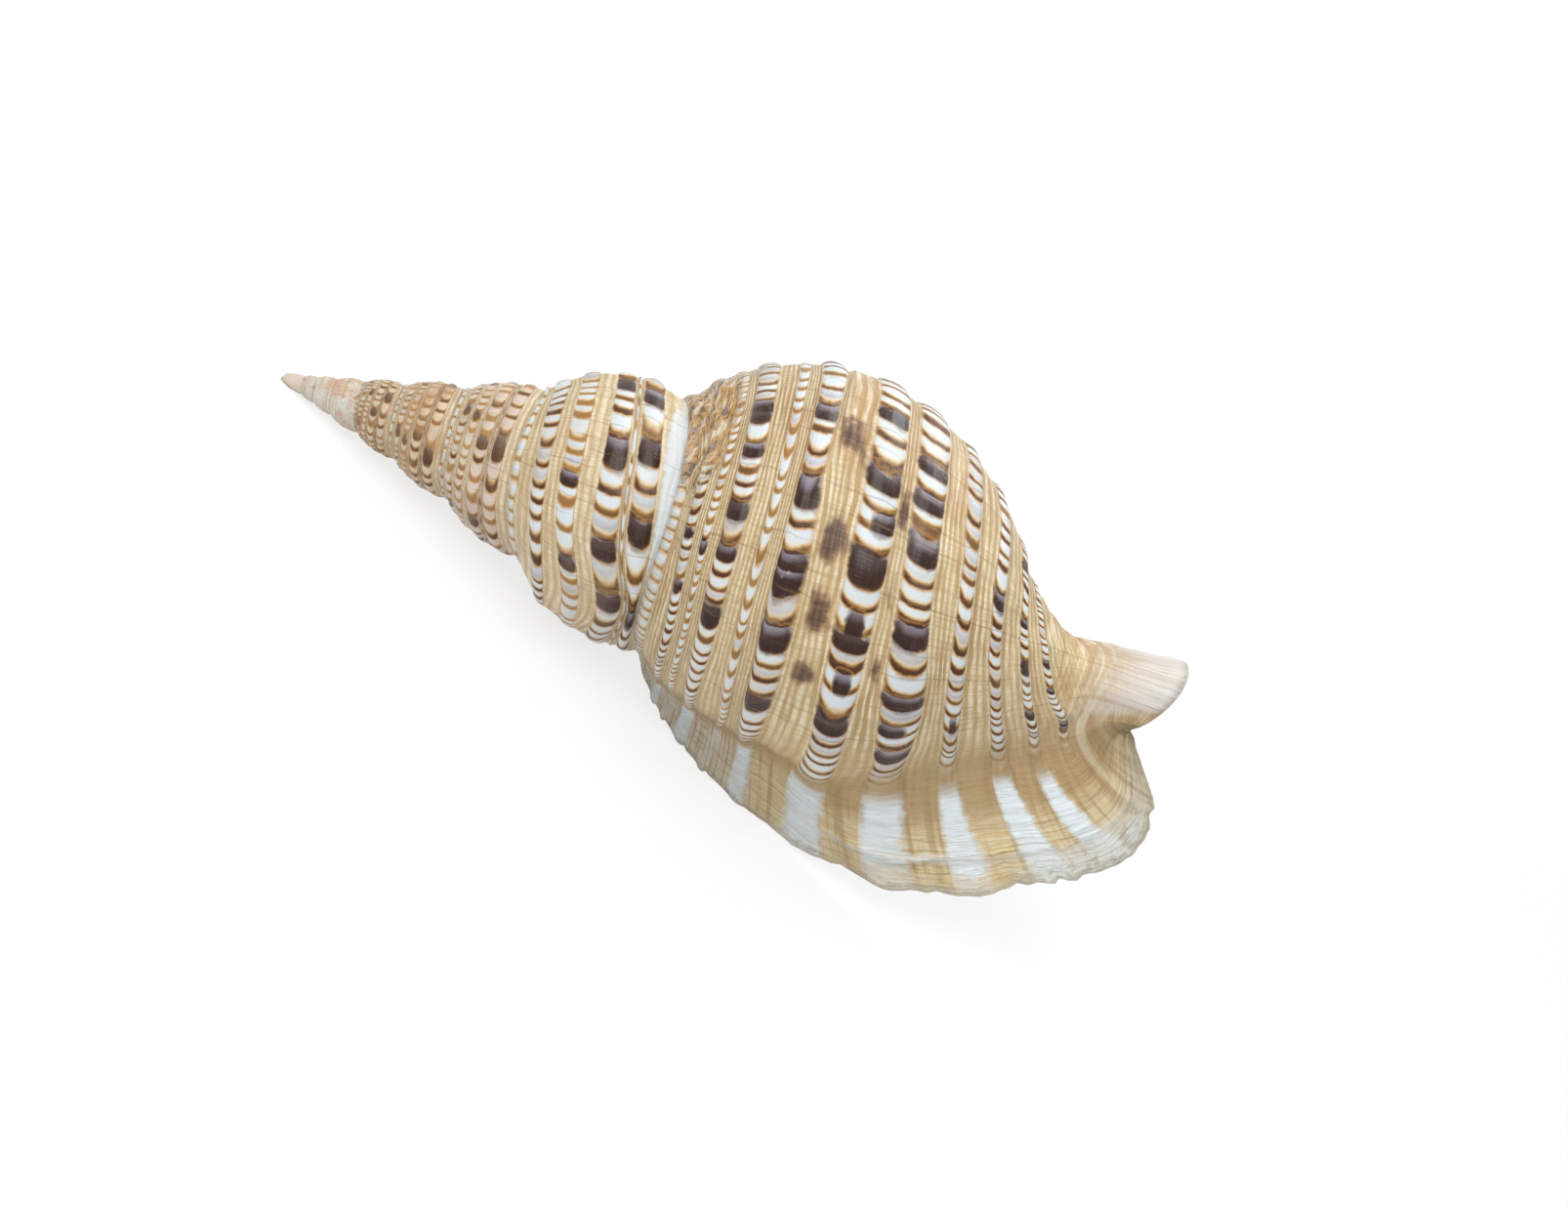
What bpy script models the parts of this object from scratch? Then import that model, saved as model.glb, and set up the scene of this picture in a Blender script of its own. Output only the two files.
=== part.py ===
"""Triton shell: one coiled shell, open at the mouth, lying on its mouth side.

The form is worked out along the coil. Turns are counted back from the lip: 0 is the lip,
-1 is one whorl earlier. Lengths are in millimetres until the mesh is placed, in metres.
"""
import math

import bmesh
import bpy
import numpy as np
from mathutils import Euler, Vector

# coil
FIRST_TURN = -8.0
POLE_X = -2.3
AXIAL_SCALE = 153.7
AXIAL_GROWTH = 1.45
GIRTH_SCALE = 46.8
GIRTH_GROWTH = 1.52
TIP_GIRTH = 0.8
EARLY_BULGE = 0.62
LATE_BULGE = 1.08
LAST_BULGE = 1.0
SHEAR = 0.14
# where the suture wanders: how far, at which turn, over how much of a turn
SUTURE_WAVES = [(6.6, -0.26, 0.18), (-4.6, -1.28, 0.20)]
LAST_TURN_SHORTER = 0.075
LIP_FLATTENING = 0.085

# shoulder of every whorl: height above its suture, in shares of the whorl's length
WHORL_X = [0, 0.1, 0.2, 0.3, 0.45, 0.7, 1.0]
WHORL_R = [0, 0.088, 0.185, 0.25, 0.305, 0.345, 0.31]
GIRTH_TURNS = [-1, 0, 0.25, 0.5, 0.75, 1.0]
GIRTH_FACTOR = [1, 1, 1.07, 1.12, 1.02, 0.90]

# base of the last whorl, its neck and the canal's end, at these turns
BASE_TURNS = [-1.75, -1.5, -1.25, -1, -0.75, -0.5, -0.25, 0]
NECK_X = [144, 157, 174, 196, 229, 271, 287, 302]
NECK_R = [8, 8.5, 9, 11, 8.5, 5.8, 11, 25.5]
END_X = [310, 310, 310, 310, 313, 317, 318.5, 312]
END_R = [2, 2, 2.2, 3.8, 5.6, 10, 13.2, 17.3]
FALL_A = [0.5, 0.5, 0.5, 0.5, 0.16, 0.085, 0.06, -0.13]
FALL_B = [0.8, 0.8, 0.8, 0.8, 0.52, 0.375, 0.32, 0.33]
FALL_C = [0.95, 0.95, 0.95, 0.95, 0.89, 0.83, 0.77, 0.68]
LEAD = 0.12
CANAL_WAIST = 0.6

# flared lip: its edge from the suture round to the canal
FLARE_START = -0.045
LIP_V = [0, 0.15, 0.4, 0.85, 1, 1.13, 1.32, 1.50, 1.64, 1.73, 1.79, 1.85, 1.91, 2.0]
LIP_X = [144, 151, 163, 188, 198.5, 217, 248, 278, 300, 316, 326, 327, 314, 311.5]
LIP_Y = [47, 57, 68, 82.5, 86.5, 91.5, 95, 88.5, 76, 67, 55, 40, 22, 17.3]
LIP_Z = [0, 1, 1.6, 1.6, 1.6, 1.6, 1, 0, 0, 0, 0, -1, -1.6, 0]

# mouth
MOUTH_END = -0.93
WALL = 3.0
CANAL_THINNER = 1.0
LEAST_GAP = 0.9
CORNER_V = 1.05

# mesh
SHOULDER_V = [0, 0.08, 0.18, 0.30, 0.46, 0.66, 0.84, 1.0]
BASE_STEPS = 14
COARSE_STEPS = 31
FLARE_FRACTIONS = [0.966, 0.978, 0.989]

# how the shell lies, in degrees, and the scale to metres
REST_ROLL = 62.04
REST_PITCH = -20.79
METRE = 0.001


def smooth(x, low, high):
    """0 below low, 1 above high, with a smooth rise between."""
    u = np.clip((np.asarray(x, float) - low) / (high - low), 0.0, 1.0)
    return u * u * (3 - 2 * u)


def curve(knots, values, x):
    """Smooth curve through values at knots."""
    knots = np.asarray(knots, float)
    values = np.asarray(values, float)
    slopes = np.gradient(values, knots)
    x = np.clip(x, knots[0], knots[-1])
    i = np.clip(np.searchsorted(knots, x, side="right") - 1, 0, len(knots) - 2)
    h = knots[i + 1] - knots[i]
    u = (x - knots[i]) / h
    near = (2 * u**3 - 3 * u**2 + 1) * values[i] + (u**3 - 2 * u**2 + u) * h * slopes[i]
    far = (3 * u**2 - 2 * u**3) * values[i + 1] + (u**3 - u**2) * h * slopes[i + 1]
    return near + far


def suture_x(t):
    """Distance of the suture from the apex along the axis."""
    slowing = 1 - LAST_TURN_SHORTER * smooth(t, 0.0, 0.8)
    x = POLE_X + AXIAL_SCALE * AXIAL_GROWTH**t * slowing
    for height, turn, width in SUTURE_WAVES:
        x = x + height * np.exp(-((t - turn) / width) ** 2)
    return x


def suture_r(t):
    """Distance of the suture from the axis."""
    girth = GIRTH_SCALE * GIRTH_GROWTH**t + TIP_GIRTH * (1 - smooth(t, -6, -2))
    return girth * curve(GIRTH_TURNS, GIRTH_FACTOR, t)


def shoulder(t, v):
    """Whorl between two sutures, v from 0 to 1."""
    x0, r0 = suture_x(t), suture_r(t)
    span = suture_x(t + 1) - x0
    slope = (suture_r(t + 1) - r0) / span - WHORL_R[-1]
    rise = curve(WHORL_X, WHORL_R, v)
    bulge = EARLY_BULGE + (LATE_BULGE - EARLY_BULGE) * smooth(t, -2.15, -1.45)
    bulge = bulge + (LAST_BULGE - LATE_BULGE) * smooth(t, -1.2, -0.8)
    rise = WHORL_R[-1] * v + (rise - WHORL_R[-1] * v) * bulge + slope * v
    rise = rise - LIP_FLATTENING * smooth(t, -0.3, 0) * np.sin(math.pi * v)
    return x0 + span * v, r0 + span * rise


def lead_rise(t, span, r1):
    """How fast the whorl rises into the base, per whorl length."""
    if t > -0.999:
        return r1 - suture_r(t) - (WHORL_R[-1] + LEAD) * span
    return -span


def base(t, v):
    """Base, neck and canal below the whorl, v from 1 to 2."""
    x0, x1, r1 = suture_x(t), suture_x(t + 1), suture_r(t + 1)
    span = x1 - x0
    neck_x, neck_r, end_x, end_r = [curve(BASE_TURNS, k, t) for k in (NECK_X, NECK_R, END_X, END_R)]
    fall_a, fall_b, fall_c = [curve(BASE_TURNS, k, t) for k in (FALL_A, FALL_B, FALL_C)]
    run, drop = neck_x - x1, r1 - neck_r
    xs = [x1 - LEAD * span, x1, x1 + 0.3 * run, x1 + 0.6 * run, x1 + 0.84 * run, neck_x,
          (neck_x + end_x) / 2, end_x]
    before = r1 - LEAD * lead_rise(t, span, r1)
    rs = [before, r1, r1 - fall_a * drop, r1 - fall_b * drop, r1 - fall_c * drop, neck_r,
          (neck_r + end_r) / 2 - CANAL_WAIST, end_r]
    length = np.concatenate([[0], np.cumsum(np.hypot(np.diff(xs), np.diff(rs)))])
    length = length - length[1]
    along = (v - 1) * length[-1]
    return curve(length, xs, along), curve(length, rs, along)


def place(x, r, t):
    """Point at distance r from the axis, at turn t round it."""
    angle = 2 * math.pi * t
    y = -r * np.cos(angle)
    z = -r * np.sin(angle)
    return np.stack([x + SHEAR * y, y, z], -1)


def wall_row(t, shoulder_v, base_v):
    """Outer wall at turn t, before the lip flares."""
    x, r = shoulder(t, shoulder_v)
    if len(base_v):
        bx, br = base(t, base_v)
        x, r = np.concatenate([x, bx]), np.concatenate([r, br])
    return place(x, r, t)


def unit(vectors):
    return vectors / np.linalg.norm(vectors, axis=-1, keepdims=True)


def outer_row(t, shoulder_v, base_v):
    """Outer wall at turn t, bent outwards near the lip."""
    plain = wall_row(t, shoulder_v, base_v)
    if t <= FLARE_START:
        return plain
    v = np.concatenate([shoulder_v, base_v])
    root = wall_row(FLARE_START, shoulder_v, base_v)
    onward = unit(root - wall_row(FLARE_START - 0.01, shoulder_v, base_v))
    edge = np.stack([curve(LIP_V, LIP_X, v), -curve(LIP_V, LIP_Y, v), curve(LIP_V, LIP_Z, v)], -1)
    reach = np.linalg.norm(edge - root, axis=-1, keepdims=True)
    outward = unit(edge - root - 0.45 * reach * onward)
    w = (t - FLARE_START) / -FLARE_START
    bend = root * (1 - w) ** 3 + (root + 0.40 * reach * onward) * 3 * w * (1 - w) ** 2
    bend = bend + (edge - 0.35 * reach * outward) * 3 * w * w * (1 - w) + edge * w**3
    share = (smooth(v, 0, 0.10) * (1 - smooth(v, 1.93, 2.0)))[:, None]
    return plain + share * (bend - plain)


def inner_rows(turns, outer, shoulder_v, base_v):
    """Inside of the last whorl: the outer wall moved in by its thickness, clear of the whorl before."""
    along = np.gradient(outer, axis=0)
    across = np.gradient(outer, axis=1)
    normal = unit(np.cross(along, across))
    if np.sum(normal[0, 5] * (outer[0, 5] * [0, 1, 1])) > 0:
        normal = -normal
    v = np.concatenate([shoulder_v, base_v])
    rows = []
    for t, row, n in zip(turns, outer, normal):
        depth = WALL - CANAL_THINNER * smooth(v, 1.6, 2.0)
        p = row + n * depth[:, None]
        r = np.hypot(p[:, 1], p[:, 2])
        bx, br = base(t - 1, np.linspace(1.0, 2.0, 60))
        least = np.interp(p[:, 0] - SHEAR * p[:, 1], bx, br) + LEAST_GAP
        p[:, 1:] *= (np.maximum(r, least) / r)[:, None]
        p[0] = place(*base(t - 1, CORNER_V), t)
        rows.append(p)
    return rows


class Mesh:
    """Grid rows of shared vertices."""

    def __init__(self):
        self.bm = bmesh.new()

    def row(self, points):
        return [self.bm.verts.new(p) for p in points]

    def face(self, *verts):
        self.bm.faces.new(verts)

    def strip(self, a, b):
        for i in range(len(a) - 1):
            self.face(a[i], a[i + 1], b[i + 1], b[i])


def turn_list():
    """Turns of the rows, closer together where the lip flares, the same in every whorl."""
    fractions = list(np.linspace(0, 1 + FLARE_START, COARSE_STEPS)) + FLARE_FRACTIONS
    whorls = range(int(FIRST_TURN), 0)
    return np.array([w + f for w in whorls for f in fractions] + [0.0]), len(fractions)


def build_shell():
    turns, per_turn = turn_list()
    sv = np.array(SHOULDER_V)
    bv = 1 + np.linspace(0, 1, BASE_STEPS + 1)[1:]
    none = np.array([])
    last = len(turns) - 1
    first_base = last - per_turn
    m = Mesh()

    # exposed shoulders: each whorl's last point is the suture point of the next whorl
    shoulders = [outer_row(t, sv, bv)[:len(sv)] if t > FLARE_START else wall_row(t, sv, none) for t in turns]
    sutures = m.row([s[0] for s in shoulders])
    strips = []
    for i, points in enumerate(shoulders):
        end = sutures[i + per_turn] if i + per_turn <= last else m.bm.verts.new(points[-1])
        strips.append([sutures[i]] + m.row(points[1:-1]) + [end])
    for a, b in zip(strips, strips[1:]):
        m.strip(a, b)

    # base and canal of the last whorl
    outer = np.array([outer_row(t, sv, bv) for t in turns[first_base:]])
    bases = [m.row(row[len(sv):]) for row in outer]
    for k in range(per_turn):
        a = strips[first_base + k][-1:] + bases[k]
        b = strips[first_base + k + 1][-1:] + bases[k + 1]
        m.strip(a, b)

    # inside of the mouth
    deep = int(np.searchsorted(turns[first_base:], MOUTH_END))
    inner = inner_rows(turns[first_base + deep:], outer[deep:], sv, bv)
    insides = [m.row(row) for row in inner]
    for a, b in zip(insides, insides[1:]):
        m.strip(a, b)

    # columella and the wall of the whorl before, seen through the mouth
    columns = []
    for k, t in enumerate(turns[first_base + deep:]):
        if k == len(insides) - 1:
            columns.append([insides[k][0]] + bases[0])
        else:
            columns.append([insides[k][0]] + m.row(place(*base(t - 1, bv), t)))
    for a, b in zip(columns, columns[1:]):
        m.strip(a, b)

    # lip, its corner at the suture, and the canal's rim
    lip = strips[last] + bases[-1]
    m.strip(lip, insides[-1])
    m.face(strips[first_base][-1], insides[-1][0], bases[0][0])
    m.strip([b[-1] for b in bases[deep:]], [c[-1] for c in insides])

    # blind end of the hollow
    bottom, side = insides[0], columns[0]
    joint = len(sv) - 1
    for j in range(1, joint):
        m.face(bottom[0], bottom[j], bottom[j + 1])
    for j in range(len(side) - 1):
        m.face(bottom[joint + j], bottom[joint + j + 1], side[j + 1], side[j])

    # canal's end, round the axis
    ring = [b[-1] for b in bases[:deep + 1]] + [insides[0][-1]] + [c[-1] for c in columns[:-1]]
    fan(m, ring, sum((v.co for v in ring), Vector()) / len(ring))

    # worn tip
    loop = sutures[:per_turn + 1] + strips[0][-2:0:-1]
    dome(m, loop, Vector((0, 0, 0)))
    return m


def fan(m, ring, centre):
    middle = m.bm.verts.new(centre)
    for a, b in zip(ring, ring[1:] + ring[:1]):
        m.face(a, b, middle)


def dome(m, loop, tip):
    """Round cap from a loop to the tip."""
    middle = sum((v.co for v in loop), Vector()) / len(loop)
    for angle in (30, 60):
        share = math.radians(angle)
        ring = []
        for v in loop:
            flat = middle + (v.co - middle) * math.cos(share)
            ring.append(m.bm.verts.new(flat + (tip - middle) * math.sin(share)))
        for i in range(len(loop)):
            k = (i + 1) % len(loop)
            low = loop if angle == 30 else below
            m.face(low[i], low[k], ring[k], ring[i])
        below = ring
    fan(m, below, tip)


def material():
    mat = bpy.data.materials.new("shell")
    mat.use_nodes = True
    shader = mat.node_tree.nodes["Principled BSDF"]
    shader.inputs["Base Color"].default_value = (0.62, 0.45, 0.27, 1)
    shader.inputs["Roughness"].default_value = 0.3
    shader.inputs["Metallic"].default_value = 0.0
    return mat


def main():
    for obj in list(bpy.data.objects):
        bpy.data.objects.remove(obj, do_unlink=True)
    m = build_shell()
    bmesh.ops.recalc_face_normals(m.bm, faces=m.bm.faces)
    turn = Euler((math.radians(REST_ROLL), math.radians(REST_PITCH), 0)).to_matrix()
    for v in m.bm.verts:
        v.co = (turn @ v.co) * METRE
    xs = [v.co.x for v in m.bm.verts]
    ys = [v.co.y for v in m.bm.verts]
    zs = [v.co.z for v in m.bm.verts]
    origin = Vector(((min(xs) + max(xs)) / 2, (min(ys) + max(ys)) / 2, min(zs)))
    for v in m.bm.verts:
        v.co -= origin
    mesh = bpy.data.meshes.new("shell")
    m.bm.to_mesh(mesh)
    m.bm.free()
    mesh.shade_smooth()
    mesh.materials.append(material())
    shell = bpy.data.objects.new("shell", mesh)
    bpy.context.scene.collection.objects.link(shell)


main()
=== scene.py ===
import math
import random
import bpy
import bmesh
import numpy as np
from mathutils import Euler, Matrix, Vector, noise


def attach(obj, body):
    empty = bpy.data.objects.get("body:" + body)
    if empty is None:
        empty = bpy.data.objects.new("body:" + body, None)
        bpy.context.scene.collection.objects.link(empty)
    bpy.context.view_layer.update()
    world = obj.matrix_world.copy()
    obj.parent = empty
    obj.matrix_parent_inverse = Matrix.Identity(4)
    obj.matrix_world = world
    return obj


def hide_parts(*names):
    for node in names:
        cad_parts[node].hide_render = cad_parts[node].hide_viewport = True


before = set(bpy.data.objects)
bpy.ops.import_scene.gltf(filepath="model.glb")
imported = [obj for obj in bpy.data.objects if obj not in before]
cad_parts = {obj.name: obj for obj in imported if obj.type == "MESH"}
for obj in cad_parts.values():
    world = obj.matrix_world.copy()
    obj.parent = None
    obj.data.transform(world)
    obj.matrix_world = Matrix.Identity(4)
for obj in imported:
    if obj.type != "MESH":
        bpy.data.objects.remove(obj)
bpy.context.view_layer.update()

bpy.context.scene.view_settings.view_transform = "Standard"


# the coil: turn 0 is the lip, -1 one whorl back; lengths in mm along the shell's own axis

coil = {
    "poleX": -2.3,
    "axialScale": 153.7,
    "axialGrowth": 1.45,
    "girthScale": 46.8,
    "girthGrowth": 1.52,
    "tipGirth": 0.8,
    "earlyBulge": 0.62,
    "lateBulge": 1.08,
    "lastBulge": 1.0,
    "shear": 0.14,
    "sutureWaves": [(6.6, -0.26, 0.18), (-4.6, -1.28, 0.20)],  # height, turn, width
    "lastTurnShorter": 0.075,
    "lipFlattening": 0.085,
    "whorlX": [0, 0.1, 0.2, 0.3, 0.45, 0.7, 1.0],
    "whorlR": [0, 0.088, 0.185, 0.25, 0.305, 0.345, 0.31],
    "girthTurns": [-1, 0, 0.25, 0.5, 0.75, 1.0],
    "girthFactor": [1, 1, 1.07, 1.12, 1.02, 0.90],
}

canal = {  # base of the last whorl, its neck and the canal's end, at these turns
    "turns": [-1.75, -1.5, -1.25, -1, -0.75, -0.5, -0.25, 0],
    "neckX": [144, 157, 174, 196, 229, 271, 287, 302],
    "neckR": [8, 8.5, 9, 11, 8.5, 5.8, 11, 25.5],
    "endX": [310, 310, 310, 310, 313, 317, 318.5, 312],
    "endR": [2, 2, 2.2, 3.8, 5.6, 10, 13.2, 17.3],
    "fallA": [0.5, 0.5, 0.5, 0.5, 0.16, 0.085, 0.06, -0.13],
    "fallB": [0.8, 0.8, 0.8, 0.8, 0.52, 0.375, 0.32, 0.33],
    "fallC": [0.95, 0.95, 0.95, 0.95, 0.89, 0.83, 0.77, 0.68],
    "lead": 0.12,
    "waist": 0.6,
}

lip = {
    "start": -0.045,  # turn where the wall begins to flare
    "sooner": 0.035,  # so much earlier towards the canal
    "v": [0, 0.15, 0.4, 0.85, 1, 1.13, 1.32, 1.50, 1.64, 1.73, 1.79, 1.85, 1.91, 2.0],
    "x": [144, 151, 163, 188, 198.5, 217, 248, 278, 300, 316, 326, 327, 314, 311.5],
    "y": [47, 57, 68, 82.5, 86.5, 91.5, 95, 88.5, 76, 67, 55, 40, 22, 17.3],
    "z": [0, 1, 1.6, 1.6, 1.6, 1.6, 1, 0, 0, 0, 0, -1, -1.6, 0],
    "scallop": 1.1,  # mm the edge stands out at each rib
    "chips": [(1.235, 0.012, 0.9), (1.44, 0.010, 1.2), (1.595, 0.012, 1.6), (1.672, 0.010, 1.9),
              (1.715, 0.008, 1.2), (1.77, 0.010, 1.5), (1.835, 0.012, 1.7)],  # place, width, depth
}

mouth = {
    "end": -0.93,  # turn where the hollow stops
    "wall": 3.0,
    "lipWall": 1.5,
    "leastGap": 0.9,
    "toothTurn": -0.020,
    "toothHeight": 1.3,
    "teeth": 13,  # pairs of teeth
    "firstTooth": 0.30,
    "toothStep": 0.118,
    "toothApart": 0.014,
    "toothWidth": 0.0075,
    "foldHeight": 0.45,
    "folds": 46,
}

scar = {"turn": -0.385, "place": 0.13}  # a healed break beside the suture

rest = {"roll": 62.04, "pitch": -20.79, "shift": (161.330, -3.429, -1.087)}  # degrees, mm


def ease(x, low, high):
    u = np.clip((np.asarray(x, float) - low) / (high - low), 0.0, 1.0)
    return u * u * (3 - 2 * u)


def through(knots, values, x):  # smooth curve through values at knots
    knots = np.asarray(knots, float)
    values = np.asarray(values, float)
    slopes = np.gradient(values, knots)
    x = np.clip(x, knots[0], knots[-1])
    i = np.clip(np.searchsorted(knots, x, side="right") - 1, 0, len(knots) - 2)
    h = knots[i + 1] - knots[i]
    u = (x - knots[i]) / h
    near = (2 * u**3 - 3 * u**2 + 1) * values[i] + (u**3 - 2 * u**2 + u) * h * slopes[i]
    far = (3 * u**2 - 2 * u**3) * values[i + 1] + (u**3 - u**2) * h * slopes[i + 1]
    return near + far


def sutureX(t):
    shorter = 1 - coil["lastTurnShorter"] * ease(t, 0.0, 0.8)
    x = coil["poleX"] + coil["axialScale"] * coil["axialGrowth"] ** t * shorter
    for height, turn, width in coil["sutureWaves"]:
        x = x + height * np.exp(-((t - turn) / width) ** 2)
    return x


def sutureR(t):
    girth = coil["girthScale"] * coil["girthGrowth"] ** t + coil["tipGirth"] * (1 - ease(t, -6, -2))
    return girth * through(coil["girthTurns"], coil["girthFactor"], t)


def shoulder(t, v):  # whorl between two sutures, v from 0 to 1
    x0, r0 = sutureX(t), sutureR(t)
    span = sutureX(t + 1) - x0
    last = coil["whorlR"][-1]
    slope = (sutureR(t + 1) - r0) / span - last
    rise = through(coil["whorlX"], coil["whorlR"], v)
    bulge = coil["earlyBulge"] + (coil["lateBulge"] - coil["earlyBulge"]) * ease(t, -2.15, -1.45)
    bulge = bulge + (coil["lastBulge"] - coil["lateBulge"]) * ease(t, -1.2, -0.8)
    rise = last * v + (rise - last * v) * bulge + slope * v
    rise = rise - coil["lipFlattening"] * ease(t, -0.3, 0) * np.sin(math.pi * v)
    return x0 + span * v, r0 + span * rise


def base(t, v):  # base, neck and canal, v from 1 to 2
    x0, x1, r1 = sutureX(t), sutureX(t + 1), sutureR(t + 1)
    span = x1 - x0
    columns = ("neckX", "neckR", "endX", "endR", "fallA", "fallB", "fallC")
    neckX, neckR, endX, endR, fallA, fallB, fallC = [through(canal["turns"], canal[k], t) for k in columns]
    run, drop, lead = neckX - x1, r1 - neckR, canal["lead"]
    rising = r1 - sutureR(t) - (coil["whorlR"][-1] + lead) * span if t > -0.999 else -span
    xs = [x1 - lead * span, x1, x1 + 0.3 * run, x1 + 0.6 * run, x1 + 0.84 * run, neckX,
          (neckX + endX) / 2, endX]
    rs = [r1 - lead * rising, r1, r1 - fallA * drop, r1 - fallB * drop, r1 - fallC * drop, neckR,
          (neckR + endR) / 2 - canal["waist"], endR]
    length = np.concatenate([[0], np.cumsum(np.hypot(np.diff(xs), np.diff(rs)))])
    length = length - length[1]
    along = (v - 1) * length[-1]
    return through(length, xs, along), through(length, rs, along)


def onCoil(x, r, t):
    y = -r * math.cos(2 * math.pi * t)
    z = -r * math.sin(2 * math.pi * t)
    return np.stack([x + coil["shear"] * y, y, z], -1)


def plainRow(t, v):
    x, r = shoulder(t, np.minimum(v, 1.0))
    if v[-1] > 1.0:
        bx, br = base(t, np.maximum(v, 1.0))
        x, r = np.where(v > 1.0, bx, x), np.where(v > 1.0, br, r)
    return onCoil(x, r, t)


def unit(a):
    return a / np.maximum(np.linalg.norm(a, axis=-1, keepdims=True), 1e-9)


def lipEdge(v):
    x, y, z = [through(lip["v"], lip[k], v) for k in "xyz"]
    return np.stack([x, -y, z], -1)


def outerRow(t, v):  # outer wall, bent outwards near the lip
    plain = plainRow(t, v)
    start, sooner = lip["start"], lip["sooner"]
    if t <= start - sooner:
        return plain
    later = ease(v, 1.05, 1.45)[:, None]  # the front part bends out sooner
    mid = 4 * later * (1 - later)
    first, half, last = [plainRow(start - k * sooner, v) for k in (0, 0.5, 1)]
    root = first + (last - first) * later + mid * (half - (first + last) / 2)
    onward = unit(root - plainRow(start - 0.01, v) * (1 - later) - plainRow(start - sooner - 0.01, v) * later)
    edge = lipEdge(v)
    reach = np.linalg.norm(edge - root, axis=-1, keepdims=True)
    outward = unit(edge - root - 0.45 * reach * onward)
    begin = start - sooner * later
    w = np.maximum((t - begin) / -begin, 0)
    lead = 0.40 - 0.18 * later
    bend = root * (1 - w) ** 3 + (root + lead * reach * onward) * 3 * w * (1 - w) ** 2
    bend = bend + (edge - 0.35 * reach * outward) * 3 * w * w * (1 - w) + edge * w**3
    bend = np.where(w > 0, bend, plain)
    share = (ease(v, 0, 0.10) * (1 - ease(v, 1.93, 2.0)))[:, None]
    return plain + share * (bend - plain)


# ribs: where each one runs, as shares across the whorl, at these turns

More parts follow.
